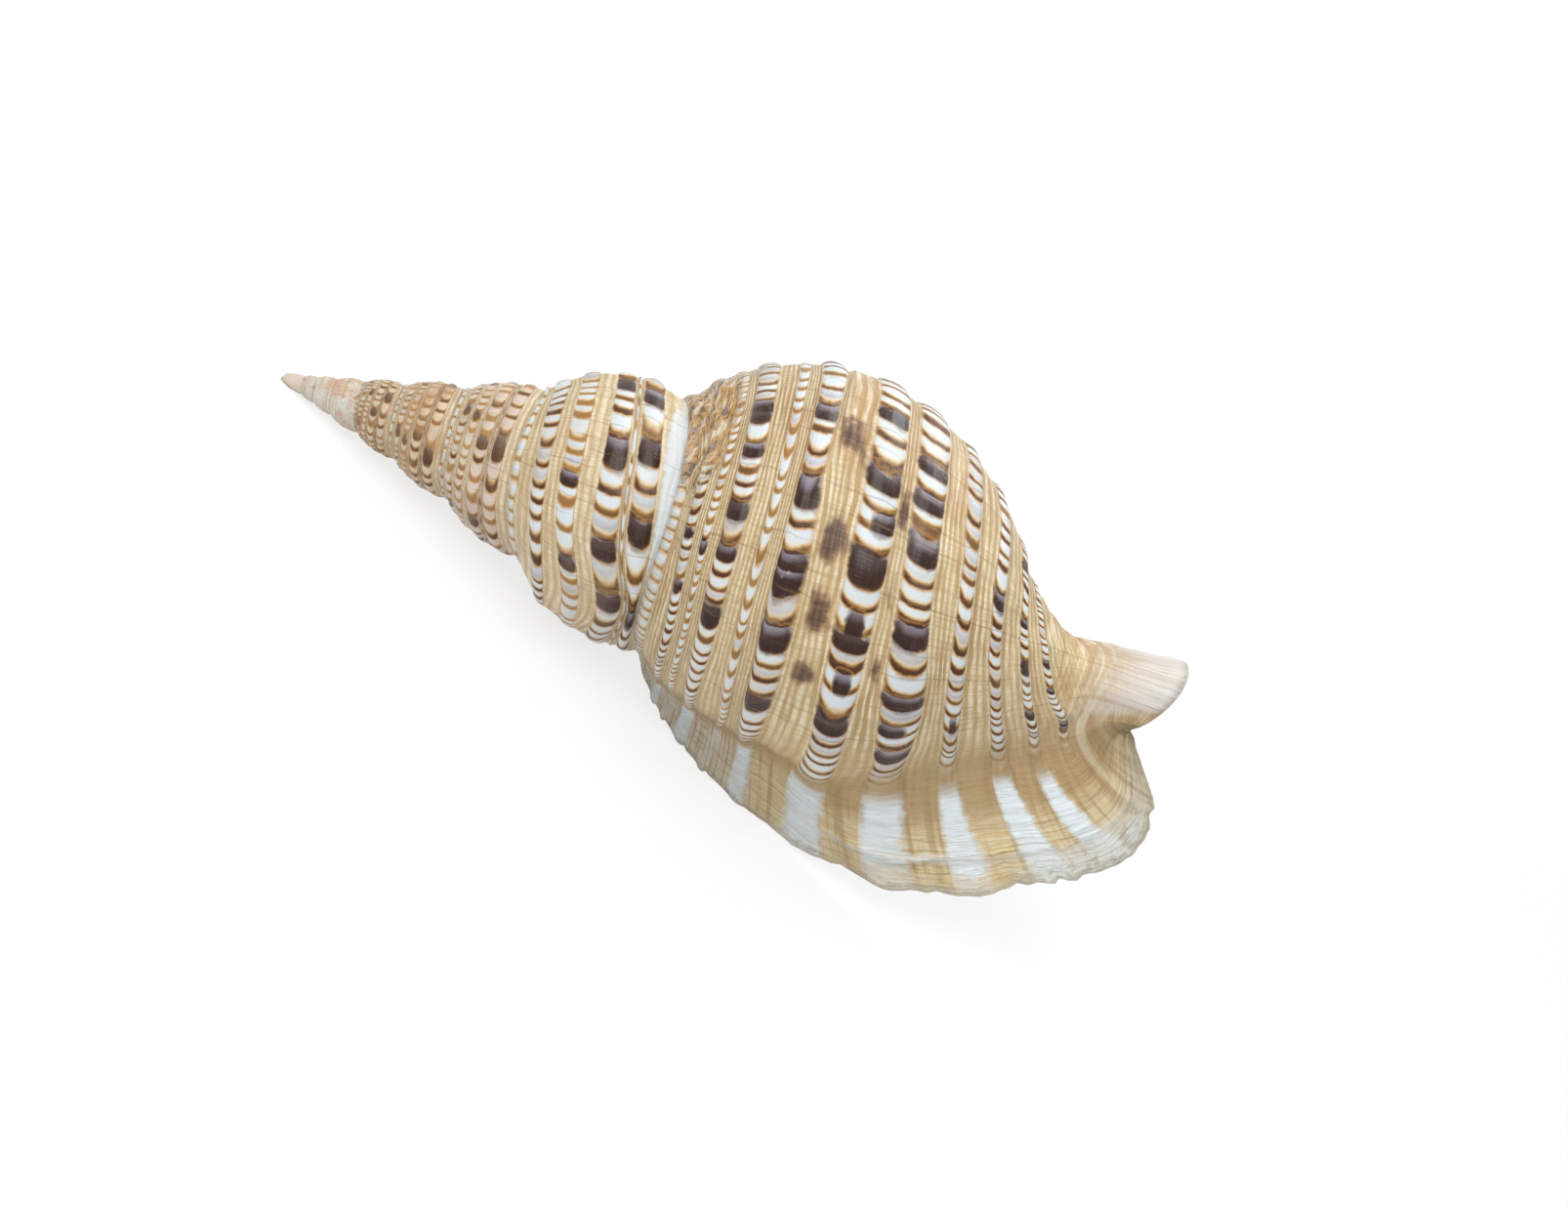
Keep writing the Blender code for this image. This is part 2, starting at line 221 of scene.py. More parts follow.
ribs = {
    "turns": [-2.25, -1.31, -1.20, -1.12, -1.0, -0.85, -0.7, -0.4, -0.25, -0.15, -0.09, 0.0],
    "edges": [
        [0.050, 0.045, 0.060, 0.070, 0.065, 0.060, 0.060, 0.075, 0.085, 0.100, 0.095, 0.080],  # beads end
        [0.120, 0.120, 0.190, 0.260, 0.210, 0.165, 0.140, 0.145, 0.160, 0.245, 0.240, 0.200],  # rib 1
        [0.230, 0.220, 0.290, 0.370, 0.300, 0.235, 0.215, 0.225, 0.250, 0.325, 0.300, 0.270],
        [0.280, 0.290, 0.380, 0.500, 0.420, 0.330, 0.290, 0.270, 0.310, 0.385, 0.365, 0.320],  # rib 2
        [0.390, 0.410, 0.505, 0.630, 0.520, 0.410, 0.360, 0.330, 0.370, 0.430, 0.415, 0.370],
        [0.450, 0.520, 0.605, 0.735, 0.610, 0.500, 0.440, 0.380, 0.440, 0.500, 0.500, 0.430],  # rib 3
        [0.620, 0.670, 0.775, 0.893, 0.750, 0.640, 0.590, 0.520, 0.610, 0.645, 0.600, 0.540],
        [0.645, 0.686, 0.789, 0.905, 0.782, 0.690, 0.670, 0.640, 0.740, 0.780, 0.775, 0.650],  # rib 4
        [0.662, 0.702, 0.805, 0.917, 0.802, 0.725, 0.720, 0.710, 0.810, 0.850, 0.840, 0.720],
        [0.685, 0.720, 0.820, 0.930, 0.840, 0.785, 0.770, 0.790, 0.900, 0.950, 0.930, 0.850],  # rib 5
        [0.860, 0.870, 0.955, 0.985, 0.945, 0.950, 0.950, 0.970, 1.040, 1.053, 1.035, 0.970],
        [1.000, 1.000, 1.000, 1.000, 1.000, 1.001, 1.002, 1.015, 1.073, 1.100, 1.090, 1.030],  # broad gap
        [1.030, 1.030, 1.030, 1.030, 1.030, 1.035, 1.040, 1.060, 1.107, 1.140, 1.147, 1.080],  # rib 6
        [1.100, 1.100, 1.100, 1.100, 1.100, 1.107, 1.115, 1.133, 1.193, 1.225, 1.235, 1.190],
        [1.130, 1.130, 1.130, 1.130, 1.130, 1.137, 1.145, 1.155, 1.225, 1.280, 1.315, 1.285],  # rib 7
        [1.205, 1.205, 1.205, 1.205, 1.205, 1.212, 1.220, 1.235, 1.305, 1.385, 1.400, 1.400],
        [1.255, 1.255, 1.255, 1.255, 1.255, 1.260, 1.265, 1.280, 1.362, 1.434, 1.480, 1.478],  # rib 8
        [1.295, 1.295, 1.295, 1.295, 1.295, 1.302, 1.310, 1.325, 1.402, 1.478, 1.518, 1.562],
        [1.357, 1.357, 1.357, 1.357, 1.357, 1.362, 1.367, 1.383, 1.457, 1.552, 1.603, 1.632],  # rib 9
        [1.393, 1.393, 1.393, 1.393, 1.393, 1.398, 1.403, 1.420, 1.497, 1.584, 1.638, 1.710],
        [1.462, 1.462, 1.462, 1.462, 1.462, 1.471, 1.480, 1.498, 1.562, 1.642, 1.697, 1.748],  # rib 10
        [1.498, 1.498, 1.498, 1.498, 1.498, 1.506, 1.515, 1.532, 1.590, 1.668, 1.724, 1.795],
        [1.560, 1.560, 1.560, 1.560, 1.560, 1.565, 1.570, 1.585, 1.638, 1.712, 1.776, 1.818],  # rib 11
        [1.582, 1.582, 1.582, 1.582, 1.582, 1.587, 1.592, 1.608, 1.660, 1.736, 1.802, 1.840],
    ],
    "bands": [1, 2, 3, 4, 5, 6, 7, 8, 9, 10, 11, 11.5, 12, 13, 14, 15, 16, 17, 18, 19, 20, 21, 22, 23],
    "steps": [4, 4, 4, 4, 4, 4, 8, 4, 4, 4, 8, 4, 2, 8, 4, 8, 4, 6, 4, 6, 4, 6, 4, 4, 14],
    "height": {0: 1.1, 2: 1.1, 4: 0.7, 6: 1.7, 8: 0.8, 10: 2.0, 12: 2.0, 14: 1.9, 16: 1.5, 18: 1.3, 20: 1.2,
               22: 1.0},
    "cell": {0: 0.85, 2: 0.70, 4: 0.62, 6: 0.80, 8: 0.95, 10: 1.0, 12: 1.0, 14: 1.0, 16: 1.10, 18: 1.0,
             20: 0.95, 22: 0.85},
    "threads": [2, 4, 3, 3, 2, 3, 4, 4, 3, 4, 5, 3, 2, 5, 3, 5, 4, 3, 3, 3, 3, 2, 3, 2, 22],
    "earlyThreads": [2, 2, 2, 2, 2, 2, 3, 1, 1, 1, 3, 2, 2, 5, 3, 5, 5, 3, 4, 3, 4, 3, 3, 2, 22],
    "varices": [(-0.72, 1.2), (-1.44, 2.4), (-2.16, 2.4), (-2.88, 2.8), (-3.6, 2.8), (-4.32, 2.8),
                (-5.04, 2.6)],  # turn, height
}

shoulderSteps = ribs["steps"][:12]
baseSteps = ribs["steps"][12:]


def bandPlaces(t, sub, withBase):  # across-place and band number of every column at turn t
    turn = np.clip(t, ribs["turns"][0], 0)
    edges = [through(ribs["turns"], e, turn) for e in ribs["edges"]]
    knots = [0.0] + edges[:12]
    bands = [0.0] + ribs["bands"][:12]
    steps = [s // sub for s in shoulderSteps]
    if t <= -1:
        knots[-1] = 1.0
    if withBase:
        knots = knots + edges[12:] + [2.0]
        bands = bands + ribs["bands"][12:] + [24.0]
        steps = steps + baseSteps
    v, band = [knots[0]], [bands[0]]
    for i, n in enumerate(steps):
        for k in range(1, n + 1):
            v.append(knots[i] + (knots[i + 1] - knots[i]) * k / n)
            band.append(bands[i] + (bands[i + 1] - bands[i]) * k / n)
    return np.array(v), np.array(band)


turnSteps = 320
fineSteps = 32  # of them, in the flare
whorlFractions = np.concatenate([np.linspace(0, 1 + lip["start"], turnSteps - fineSteps + 1),
                                 np.linspace(1 + lip["start"], 1, fineSteps + 1)[1:-1]])


def turnsBetween(first, last, step):
    whole = [w + f for w in range(int(first), int(last)) for f in whorlFractions[::step]]
    return np.array(whole + [float(last)])


def threadCount(t, band):  # running number of fine threads up to a place across the whorl
    marks = [0.0] + ribs["bands"] + [24.0]
    late = np.concatenate([[0], np.cumsum(ribs["threads"])])
    early = np.concatenate([[0], np.cumsum(ribs["earlyThreads"])])
    share = ease(t, -1.12, -0.9)
    return np.interp(band, marks, late) * share + np.interp(band, marks, early) * (1 - share)


# markings: running cell count along each rib, and the dark blocks

cellTurns = np.linspace(-8.2, 0.1, 8301)
# turn: length of a cell, in turns
cellKnots = {-8: 0.052, -3: 0.046, -1.6: 0.038, -1.15: 0.035, -1.0: 0.034, -0.6: 0.023, -0.4: 0.019,
             -0.2: 0.0175, -0.13: 0.0165, -0.09: 0.0135, -0.06: 0.0095, -0.03: 0.0075}
cellLength = np.interp(cellTurns, list(cellKnots), list(cellKnots.values()))
cellCount = np.concatenate([[0], np.cumsum(np.diff(cellTurns) / cellLength[1:])])

# rib band: first and last turn of each block, then the part of the rib: 0 all, -1 left, 1 right, 2 middle
darkBlocks = {
    6: [(-0.390, -0.365, 0), (-0.332, -0.312, 0), (-0.290, -0.278, 0), (-0.245, -0.230, 0),
        (-0.203, -0.190, 0), (-1.440, -1.410, 0), (-1.322, -1.288, 0), (-1.218, -1.185, 0),
        (-1.135, -1.100, 0)],
    10: [(-0.383, -0.360, 0), (-0.322, -0.303, 0), (-0.265, -0.240, 0), (-0.212, -0.192, 0),
         (-0.150, -0.138, 0), (-1.440, -1.410, 0), (-1.332, -1.300, 0), (-1.230, -1.196, 0),
         (-1.138, -1.108, 0)],
    12: [(-0.404, -0.392, 0), (-0.350, -0.326, 0), (-0.305, -0.287, 1), (-0.287, -0.265, 0),
         (-0.247, -0.232, 2), (-0.217, -0.199, 0), (-0.199, -0.183, 2), (-0.165, -0.150, 0),
         (-0.146, -0.134, 0)],
    14: [(-0.388, -0.365, 0), (-0.340, -0.324, 0), (-0.305, -0.280, 0), (-0.240, -0.218, 0),
         (-0.190, -0.170, 0), (-0.152, -0.140, -1), (-0.128, -0.110, 0)],
    16: [(-0.147, -0.140, 2)],
    18: [(-0.300, -0.294, 0)],
    20: [(-0.372, -0.350, 0), (-0.290, -0.275, 0), (-0.215, -0.202, 0), (-0.145, -0.130, 0)],
    22: [(-0.230, -0.215, 0), (-0.170, -0.160, 0), (-0.098, -0.075, 0)],
    2: [(-0.250, -0.240, 0), (-0.215, -0.205, 0)],
    4: [(-0.250, -0.240, 0), (-1.262, -1.248, 0), (-1.165, -1.148, 0)],
    11: [(-0.292, -0.258, 0), (-0.240, -0.208, 0), (-0.184, -0.162, 0), (-0.378, -0.345, 0)],
    13: [(-0.262, -0.236, 0), (-0.200, -0.178, 0), (-0.330, -0.305, 0)],
}


def hiddenBlocks():  # more of the same on the sides that the list leaves out
    rng = random.Random(11)
    for band in (2, 4, 6, 10, 12, 14, 16, 18, 20, 22):
        spans = [(-0.98, -0.45)] if band > 10 else [(-1.98, -1.46), (-0.99, -0.45)]
        for first, last in spans:
            t = first
            while t < last:
                rarer = (1.5 if t < -1.2 else 1.0) * (2.2 if band in (16, 18) else 1.0)
                begin = t + rng.uniform(0.03, 0.07) * rarer
                t = begin + rng.uniform(0.014, 0.03) * (1.4 if t < -1.2 else 1.0)
                if t < last:
                    darkBlocks[band].append((begin, t, rng.choice([0, 0, 0, -1, 1])))
    for band in (2, 4, 6, 10):
        t = -5.9
        while t < -2.05:
            t += rng.uniform(0.10, 0.42)
            darkBlocks[band].append((t, t + 0.02, 0))


hiddenBlocks()


def ribOf(band):  # nearest rib band, and how far across it, from 0 to 1
    nearest = np.clip(np.round((band - 0.5) / 2) * 2, 0, 22)
    return nearest.astype(int), np.clip(band - nearest, 0, 1)


def cellPhase(t, ribBand):
    count = np.interp(t, cellTurns, cellCount) / ribs["cell"].get(ribBand, 1.0) + 0.37 * ribBand
    return count + 0.22 * np.sin(1.13 * count + ribBand) + 0.08 * np.sin(2.9 * count + 2.1 * ribBand)


def arch(t, across):  # how far each marking bows towards the lip
    return (0.42 - 0.19 * ease(-t, 1.0, 1.1)) * (1 - np.abs(2 * across - 1) ** 2.8)


def phaseAcross(t, band):  # running count, blended over the gaps
    lower = np.clip(np.floor(band / 2) * 2, 0, 22)
    upper = np.clip(lower + 2, 0, 22)
    mix = np.clip(band - lower - 1, 0, 1)
    low = np.array([cellPhase(t, int(b)) for b in lower])
    high = np.array([cellPhase(t, int(b)) for b in upper])
    return low * (1 - mix) + high * mix


def darkness(t, band):  # distance into the nearest dark block, in cells
    found = np.full(len(band), -1.0)
    for b, blocks in darkBlocks.items():
        near = (band > b - 0.3) & (band < b + 1.3)
        if not near.any():
            continue
        across = band[near] - b
        isRib = b % 2 == 0
        ribBand = b if isRib else b - 1
        here = cellPhase(t, ribBand) - (arch(t, np.clip(across, 0, 1)) if isRib else 0)
        for first, last, part in blocks:
            if abs(t - (first + last) / 2) > 0.1:
                continue
            a, z = cellPhase(first, ribBand), cellPhase(last, ribBand)
            if isRib:
                a, z = round(a), round(a) + max(1, round(z - a))
            depth = np.minimum(here - a, z - here)
            low, high = {0: (0.04, 0.96), -1: (0.04, 0.62), 1: (0.38, 0.96), 2: (0.30, 0.70)}[part]
            side = np.minimum(across - low, high - across) * 2.2
            if part == 2:
                side = side * 1.5
            if not isRib:
                depth = depth * 0.5
                side = np.minimum(across - 0.10, 0.90 - across) * 1.4 - 0.1
            corner = np.hypot(np.maximum(0.3 - depth, 0), np.maximum(0.3 - side, 0))  # rounds the corners
            found[near] = np.maximum(found[near], np.minimum(np.minimum(depth, side), 0.3 - corner))
    return found


# relief in mm above the smooth wall

def rough(x, y, z=0.0):
    return noise.noise(Vector((x, y, z)))


roughMany = np.vectorize(rough, otypes=[float])


def relief(t, v, band):
    size = min(coil["girthGrowth"] ** (t + 0.3), 1.0)
    near, across = ribOf(band)
    high = np.array([ribs["height"].get(int(b), 0.0) for b in near])
    inside = (band >= near) & (band <= near + 1)
    crown = np.sin(math.pi * across) ** 0.62
    rise = np.where(inside, high * crown, 0.0)
    rise = rise * (1 - 0.72 * ease(t + 0.012 * ease(v, 1.12, 1.4), -0.050, -0.030))  # flatter on the flare
    rise = rise + 0.45 * np.exp(-((band - 11.5) / 0.14) ** 2) * ease(t, -1, -0.8)  # cord in the broad gap
    cords = np.where(band > 23, 0.45 * np.sin(math.pi * np.clip((band - 23) * 7, 0, 7)) ** 2, 0)
    rise = rise + cords * ease(t, -0.9, -0.4)
    beads = 0.25 * math.cos(2 * math.pi * cellPhase(t, 0))
    rise = rise + np.where(band < 1, beads, 0) * np.sin(math.pi * np.clip(band, 0, 1))
    for turn, height in ribs["varices"]:
        d = t - turn
        width = 0.020 if d < 0 else 0.012
        rise = rise + height * math.exp(-(d / width) ** 2) * (0.75 + 0.25 * crown * inside)
    rise = rise * size
    lump = roughMany(v * 9, t * 22) * 0.55 + roughMany(v * 22, t * 60, 3.0) * 0.22
    rise = rise + lump * size
    if t > -0.07:  # growth ridges on the flare, parallel to its edge
        ridges = roughMany(v * 5 + 11, t * 190) + 0.5 * roughMany(v * 13 + 4, t * 420)
        rise = rise + 0.7 * ridges * ease(t, -0.06, -0.035) * (1 - 0.5 * ease(t, -0.02, 0))
        line = -0.0165 + 0.0035 * roughMany(v * 9, 2.0) + 0.0015 * roughMany(v * 30, 4.0)
        step = ease(t, line - 0.0008, line + 0.0008) * ease(v, 0.9, 1.25) * (1 - ease(v, 1.86, 1.95))
        rise = rise - 0.45 * step + 1.2 * np.exp(-((t - line + 0.001) / 0.0011) ** 2) * ease(v, 1.15, 1.35)
        rise = np.maximum(rise, -0.7)
    healed = math.exp(-((t - scar["turn"]) / 0.085) ** 2) * np.exp(-((v - scar["place"]) / 0.16) ** 2)
    if healed.max() > 0.02:
        rise = rise + healed * (1.3 * roughMany(v * 24, t * 95, 7.0) + 0.9 * roughMany(v * 60, t * 150, 9.0))
    ends = np.sin(math.pi * np.clip(v / 0.03, 0, 1) * 0.5)
    if t <= -1:
        ends = ends * np.sin(math.pi * np.clip((1 - v) / 0.05, 0, 1) * 0.5)
    else:
        ends = ends * np.where(v > 1, ease(t, -1, -0.9), 1 - (1 - ease(t, -1, -0.97)) * ease(v, 0.93, 1.0))
        ends = ends * np.sin(math.pi * np.clip((2 - v) / 0.03, 0, 1) * 0.5)
    return rise * ends


def chipped(t, v, band):  # mm that the lip edge is moved outwards
    inside = ribOf(band)[1]
    out = lip["scallop"] * (np.sin(math.pi * inside) - 0.4)
    out = out + roughMany(v * 14, 5.0) * 1.2 + roughMany(v * 45, 8.0) * 0.7
    for place, width, depth in lip["chips"]:
        out = out - depth * np.exp(-((v - place) / width) ** 2)
    w = max(0.0, (t - lip["start"]) / -lip["start"])
    return out * w**5 * ease(v, 0.03, 0.15) * (1 - ease(v, 1.86, 1.95))


def outerPoints(turns, sub, withBase):
    rows, vs, bs = [], [], []
    for t in turns:
        v, band = bandPlaces(t, sub, withBase)
        top = 2.0 if withBase else 1.0
        e, dv = 0.0008, 0.004
        p = outerRow(t, v)
        atEnd = t > -e or -1 - e <= t <= -1  # there it looks back only
        along = (p if atEnd else outerRow(t + e, v)) - outerRow(t - e, v)
        across = outerRow(t, np.clip(v + dv, 0, top)) - outerRow(t, np.clip(v - dv, 0, top))
        out = unit(np.cross(along, across))
        rise = relief(t, v, band)
        rows.append(p + out * rise[:, None] + unit(along) * chipped(t, v, band)[:, None])
        vs.append(v)
        bs.append(band)
    return np.array(rows), np.array(vs), np.array(bs)


restTurn = np.array(Euler((math.radians(rest["roll"]), math.radians(rest["pitch"]), 0)).to_matrix())
metresPerMm = 0.001


def inPlace(points):  # from mm on the coil to metres in the frame
    return (points @ restTurn.T - np.array(rest["shift"])) * metresPerMm


nearFloor = 0.0012  # m; relief that would dip under the floor is pressed into this height


def addSheet(name, points, uvs, finishes, side):  # a grid, moved row by row onto the coil
    rows, cols = points.shape[:2]
    bpy.ops.object.select_all(action="DESELECT")
    bpy.ops.mesh.primitive_grid_add(x_subdivisions=cols - 1, y_subdivisions=rows - 1, size=1, calc_uvs=False)
    sheet = bpy.context.object
    sheet.name = name
    mesh = sheet.data
    placed = inPlace(points.reshape(-1, 3))
    low = placed[:, 2] < nearFloor  # relief stays above the floor
    placed[low, 2] = nearFloor * np.exp(placed[low, 2] / nearFloor - 1)
    mesh.vertices.foreach_set("co", placed.ravel())
    corners = np.empty(len(mesh.loops), int)
    mesh.loops.foreach_get("vertex_index", corners)
    for layer, values in uvs.items():
        uv = mesh.uv_layers.new(name=layer)
        uv.data.foreach_set("uv", values.reshape(-1, 2)[corners].ravel())
    for finish in finishes:
        mesh.materials.append(finish)
    mesh.polygons.foreach_set("material_index", np.full(len(mesh.polygons), side))
    return sheet


def sheetMaps(turns, vs, bs):
    phase = np.array([phaseAcross(t, b) for t, b in zip(turns, bs)])
    dark = np.array([darkness(t, b) for t, b in zip(turns, bs)])
    fine = np.array([threadCount(t, b) for t, b in zip(turns, bs)])
    turn = np.repeat(np.array(turns)[:, None], vs.shape[1], 1)
    return {"cells": np.stack([phase, bs], -1), "marks": np.stack([dark, fine], -1),
            "growth": np.stack([turn, vs], -1)}


def plainMaps(turns, vs, band):
    turn = np.repeat(np.array(turns)[:, None], vs.shape[1], 1)
    none = np.zeros(turn.shape)
    return {"cells": np.stack([none, none + band], -1), "marks": np.stack([none - 1, vs * 60], -1),
            "growth": np.stack([turn, vs], -1)}


def innerPoints(turns):  # the wall seen from inside, clear of the whorl before
    rows, vs, bs = [], [], []
    for t in turns:
        v, band = bandPlaces(t, 1, True)
        e, dv = 0.003, 0.004
        outer = outerRow(t, v)
        along = outerRow(min(t + e, 0), v) - outerRow(t - e, v)
        across = outerRow(t, np.clip(v + dv, 0, 2)) - outerRow(t, np.clip(v - dv, 0, 2))
        out = unit(np.cross(along, across))
        deep = mouth["wall"] - (mouth["wall"] - mouth["lipWall"]) * ease(t, -0.05, 0)
        deep = np.maximum(deep - ease(v, 1.6, 2.0), mouth["lipWall"] * 0.8)  # thinner at the canal
        tooth = 0
        for k in range(mouth["teeth"]):
            place = mouth["firstTooth"] + mouth["toothStep"] * k
            for side in (-mouth["toothApart"], mouth["toothApart"]):
                tooth = tooth + np.exp(-((v - place - side) / mouth["toothWidth"]) ** 2)
        tooth = tooth * mouth["toothHeight"] * math.exp(-((t - mouth["toothTurn"]) / 0.007) ** 2)
        p = outer - out * (deep + tooth)[:, None] + unit(along) * chipped(t, v, band)[:, None]
        r = np.hypot(p[:, 1], p[:, 2])
        bx, br = base(t - 1, np.linspace(1.0, 2.0, 60))
        least = np.interp(p[:, 0] - coil["shear"] * p[:, 1], bx, br) + mouth["leastGap"]
        p[:, 1:] *= (np.maximum(r, least) / r)[:, None]
        p[0] = onCoil(*base(t - 1, np.array([cornerV])), t)[0]
        rows.append(p)
        vs.append(v)
        bs.append(band)
    return np.array(rows), np.array(vs), np.array(bs)


edgeSteps = 4  # rows over a rounded edge, and columns from the suture to the mouth's corner
baseV = bandPlaces(-1.0, 1, True)[0][sum(shoulderSteps):]
cornerV = baseV[edgeSteps]


def pillarPoints(turns):  # columella and the whorl before, seen through the mouth
    v = baseV[edgeSteps::2]
    rows = []
    for t in turns:
        x, r = base(t - 1, v)
        fold = np.cos(2 * math.pi * (v * mouth["folds"] + 0.6 * np.sin(v * 9))) * 0.5 + 0.5
        rise = mouth["foldHeight"] * fold * ease(v, cornerV, 1.15) * (1 - ease(v, 1.85, 2.0))
        rise = rise * ease(t, -0.7, -0.4) * (1 - ease(t, -0.05, 0.0))
        rows.append(onCoil(x, r + rise, t))
    return np.array(rows), np.repeat(v[None], len(turns), 0)


def roundedEdge(a, b, bulge):  # rows from a to b over a rounded edge
    rows = []
    for k in range(edgeSteps + 1):
        u = k / edgeSteps
        rows.append(a * (1 - u) + b * u + bulge * math.sin(math.pi * u))
    return np.array(rows)


def straighten(row):  # every second point halfway, so that a coarser sheet meets this row without steps
    row[1::2] = (row[:-1:2] + row[2::2]) / 2


def buildShell(outsideFinish, insideFinish):
    finishes, outside, inside = (outsideFinish, insideFinish), 0, 1
    sheets = []
    for name, first, last, step, sub in [("tip", -8, -5, 4, 4), ("earlyWhorls", -5, -3, 2, 2),
                                         ("thirdWhorl", -3, -2, 1, 2), ("secondWhorl", -2, -1, 1, 1)]:
        turns = turnsBetween(first, last, step)
        points, vs, bs = outerPoints(turns, sub, False)
        if name in ("earlyWhorls", "secondWhorl"):
            straighten(points[0])
        sheets.append(addSheet(name, points, sheetMaps(turns, vs, bs), finishes, outside))
    print("spire: %d sheets" % len(sheets))

    turns = turnsBetween(-1, 0, 1)
    points, vs, bs = outerPoints(turns, 1, True)
    sheets.append(addSheet("lastWhorl", points, sheetMaps(turns, vs, bs), finishes, outside))
    print("last whorl: %d x %d" % points.shape[:2])

    # inside of the mouth: every row at the lip, every eighth within
    coarse = 8
    deep = int(np.searchsorted(turns, mouth["end"]))
    deep -= deep % coarse
    near = turnSteps - fineSteps
    within, rim = turns[deep:near + 1:coarse], turns[near:]
    wallA, va, ba = innerPoints(rim)
    wallB, vb, bb = innerPoints(within)
    sheets.append(addSheet("lipInside", wallA, sheetMaps(rim, va, ba), finishes, inside))
    sheets.append(addSheet("mouthWall", wallB, sheetMaps(within, vb, bb), finishes, inside))
    sideTurns = np.concatenate([within[:-1], rim])
    column, vc = pillarPoints(sideTurns)
    sheets.append(addSheet("columella", column, plainMaps(sideTurns, vc, 30.0), finishes, inside))

    # lip edge, rounded from outside to inside, and the canal's rim
    outward = unit(points[-1] - points[-2]) * 0.5
    outward *= (ease(vs[-1], 0, 0.1) * (1 - ease(vs[-1], 1.93, 2.0)))[:, None]
    edge = roundedEdge(points[-1], wallA[-1], outward)
    edge[:, 0] = onCoil(*base(-1.0, baseV[:edgeSteps + 1]), 0.0)
    n = len(edge)
    edgeMaps = sheetMaps([0.0] * n, np.repeat(vs[-1:], n, 0), np.repeat(bs[-1:], n, 0))
    sheets.append(addSheet("lipEdge", edge, edgeMaps, finishes, outside))
    outerEnd = np.concatenate([points[deep:near:coarse, -1], points[near:, -1]])
    innerEnd = np.concatenate([wallB[:-1, -1], wallA[:, -1]])
    canalEdge = roundedEdge(outerEnd, innerEnd, np.array([0.5, 0, 0])).transpose(1, 0, 2)
    canalEdge[-1] = edge[:, -1]
    flat = np.ones(canalEdge.shape[:2])
    canalMaps = sheetMaps(sideTurns, flat * 2.0, flat * 24.0)
    sheets.append(addSheet("canalEdge", canalEdge, canalMaps, finishes, outside))
    print("mouth: %d sheets" % (len(sheets) - 5))

    bpy.ops.object.select_all(action="DESELECT")
    for s in sheets:
        s.select_set(True)
    bpy.context.view_layer.objects.active = sheets[4]
    bpy.ops.object.join()
    shell = bpy.context.object
    shell.name = "shellBody"
    shell.data.name = "shellBody"
    bpy.ops.object.shade_smooth()
    closeShell(shell, wallB, column)
    return shell


seams = {"joined": 0.000002, "tipReach": 0.02, "sliverSides": 9}  # m, m, most sides of a sliver


def openEdges(bm):
    return [e for e in bm.edges if len(e.link_faces) < 2]


def plainFace(face, maps, values):  # smooth, with the same map values all over
    face.smooth = True
    for loop in face.loops:
        for layer, value in zip(maps, values):
            loop[layer].uv = value


def closeShell(shell, wallB, column):
    bpy.ops.object.mode_set(mode="EDIT")
    bpy.ops.mesh.select_mode(type="VERT")
    bpy.ops.mesh.select_all(action="SELECT")
    bpy.ops.mesh.remove_doubles(threshold=seams["joined"])
    bpy.ops.mesh.select_all(action="DESELECT")
    bm = bmesh.from_edit_mesh(shell.data)

    def vertexAt(p):
        goal = Vector(inPlace(p[None])[0])
        return min(bm.verts, key=lambda q: (q.co - goal).length_squared)

    # an edge between the blind end and the canal's end, so that they close on their own
    bm.edges.new((vertexAt(wallB[0, -1]), vertexAt(column[0, -1])))
    made = len(bm.faces)
    bmesh.ops.holes_fill(bm, edges=openEdges(bm), sides=seams["sliverSides"])
    bm.faces.ensure_lookup_table()
    maps = [bm.loops.layers.uv[n] for n in ("cells", "marks", "growth")]
    borrowMaps(bm.faces[made:], maps)  # left flat, so they don't bend the shading beside them
    print("slivers closed: %d" % (len(bm.faces) - made))

    # worn tip: the open ring is drawn in to a point
    tip = Vector(inPlace(np.zeros((1, 3)))[0])
    ring = [e for e in openEdges(bm) if (e.verts[0].co - tip).length < seams["tipReach"]]
    roundTip(bm, ring, tip, maps)

    filled = bmesh.ops.holes_fill(bm, edges=openEdges(bm), sides=0)["faces"]
    for f in filled:
        f.material_index = 1
        plainFace(f, maps, ((0, 30), (-1, 0), (-0.9, 1.5)))
    bmesh.ops.triangulate(bm, faces=filled)
    print("ends closed: %d" % len(filled))
    bmesh.update_edit_mesh(shell.data)
    bpy.ops.mesh.select_all(action="SELECT")
    bpy.ops.mesh.normals_make_consistent(inside=False)
    bpy.ops.object.mode_set(mode="OBJECT")


def borrowMaps(faces, maps):  # a filled sliver takes its map values from the face beside it
    for f in faces:
        for loop in f.loops:
            others = [o for o in loop.vert.link_loops if o.face is not f and o[maps[2]].uv.length > 0]
            if others:
                f.material_index = others[0].face.material_index
                for m in maps:
                    loop[m].uv = others[0][m].uv


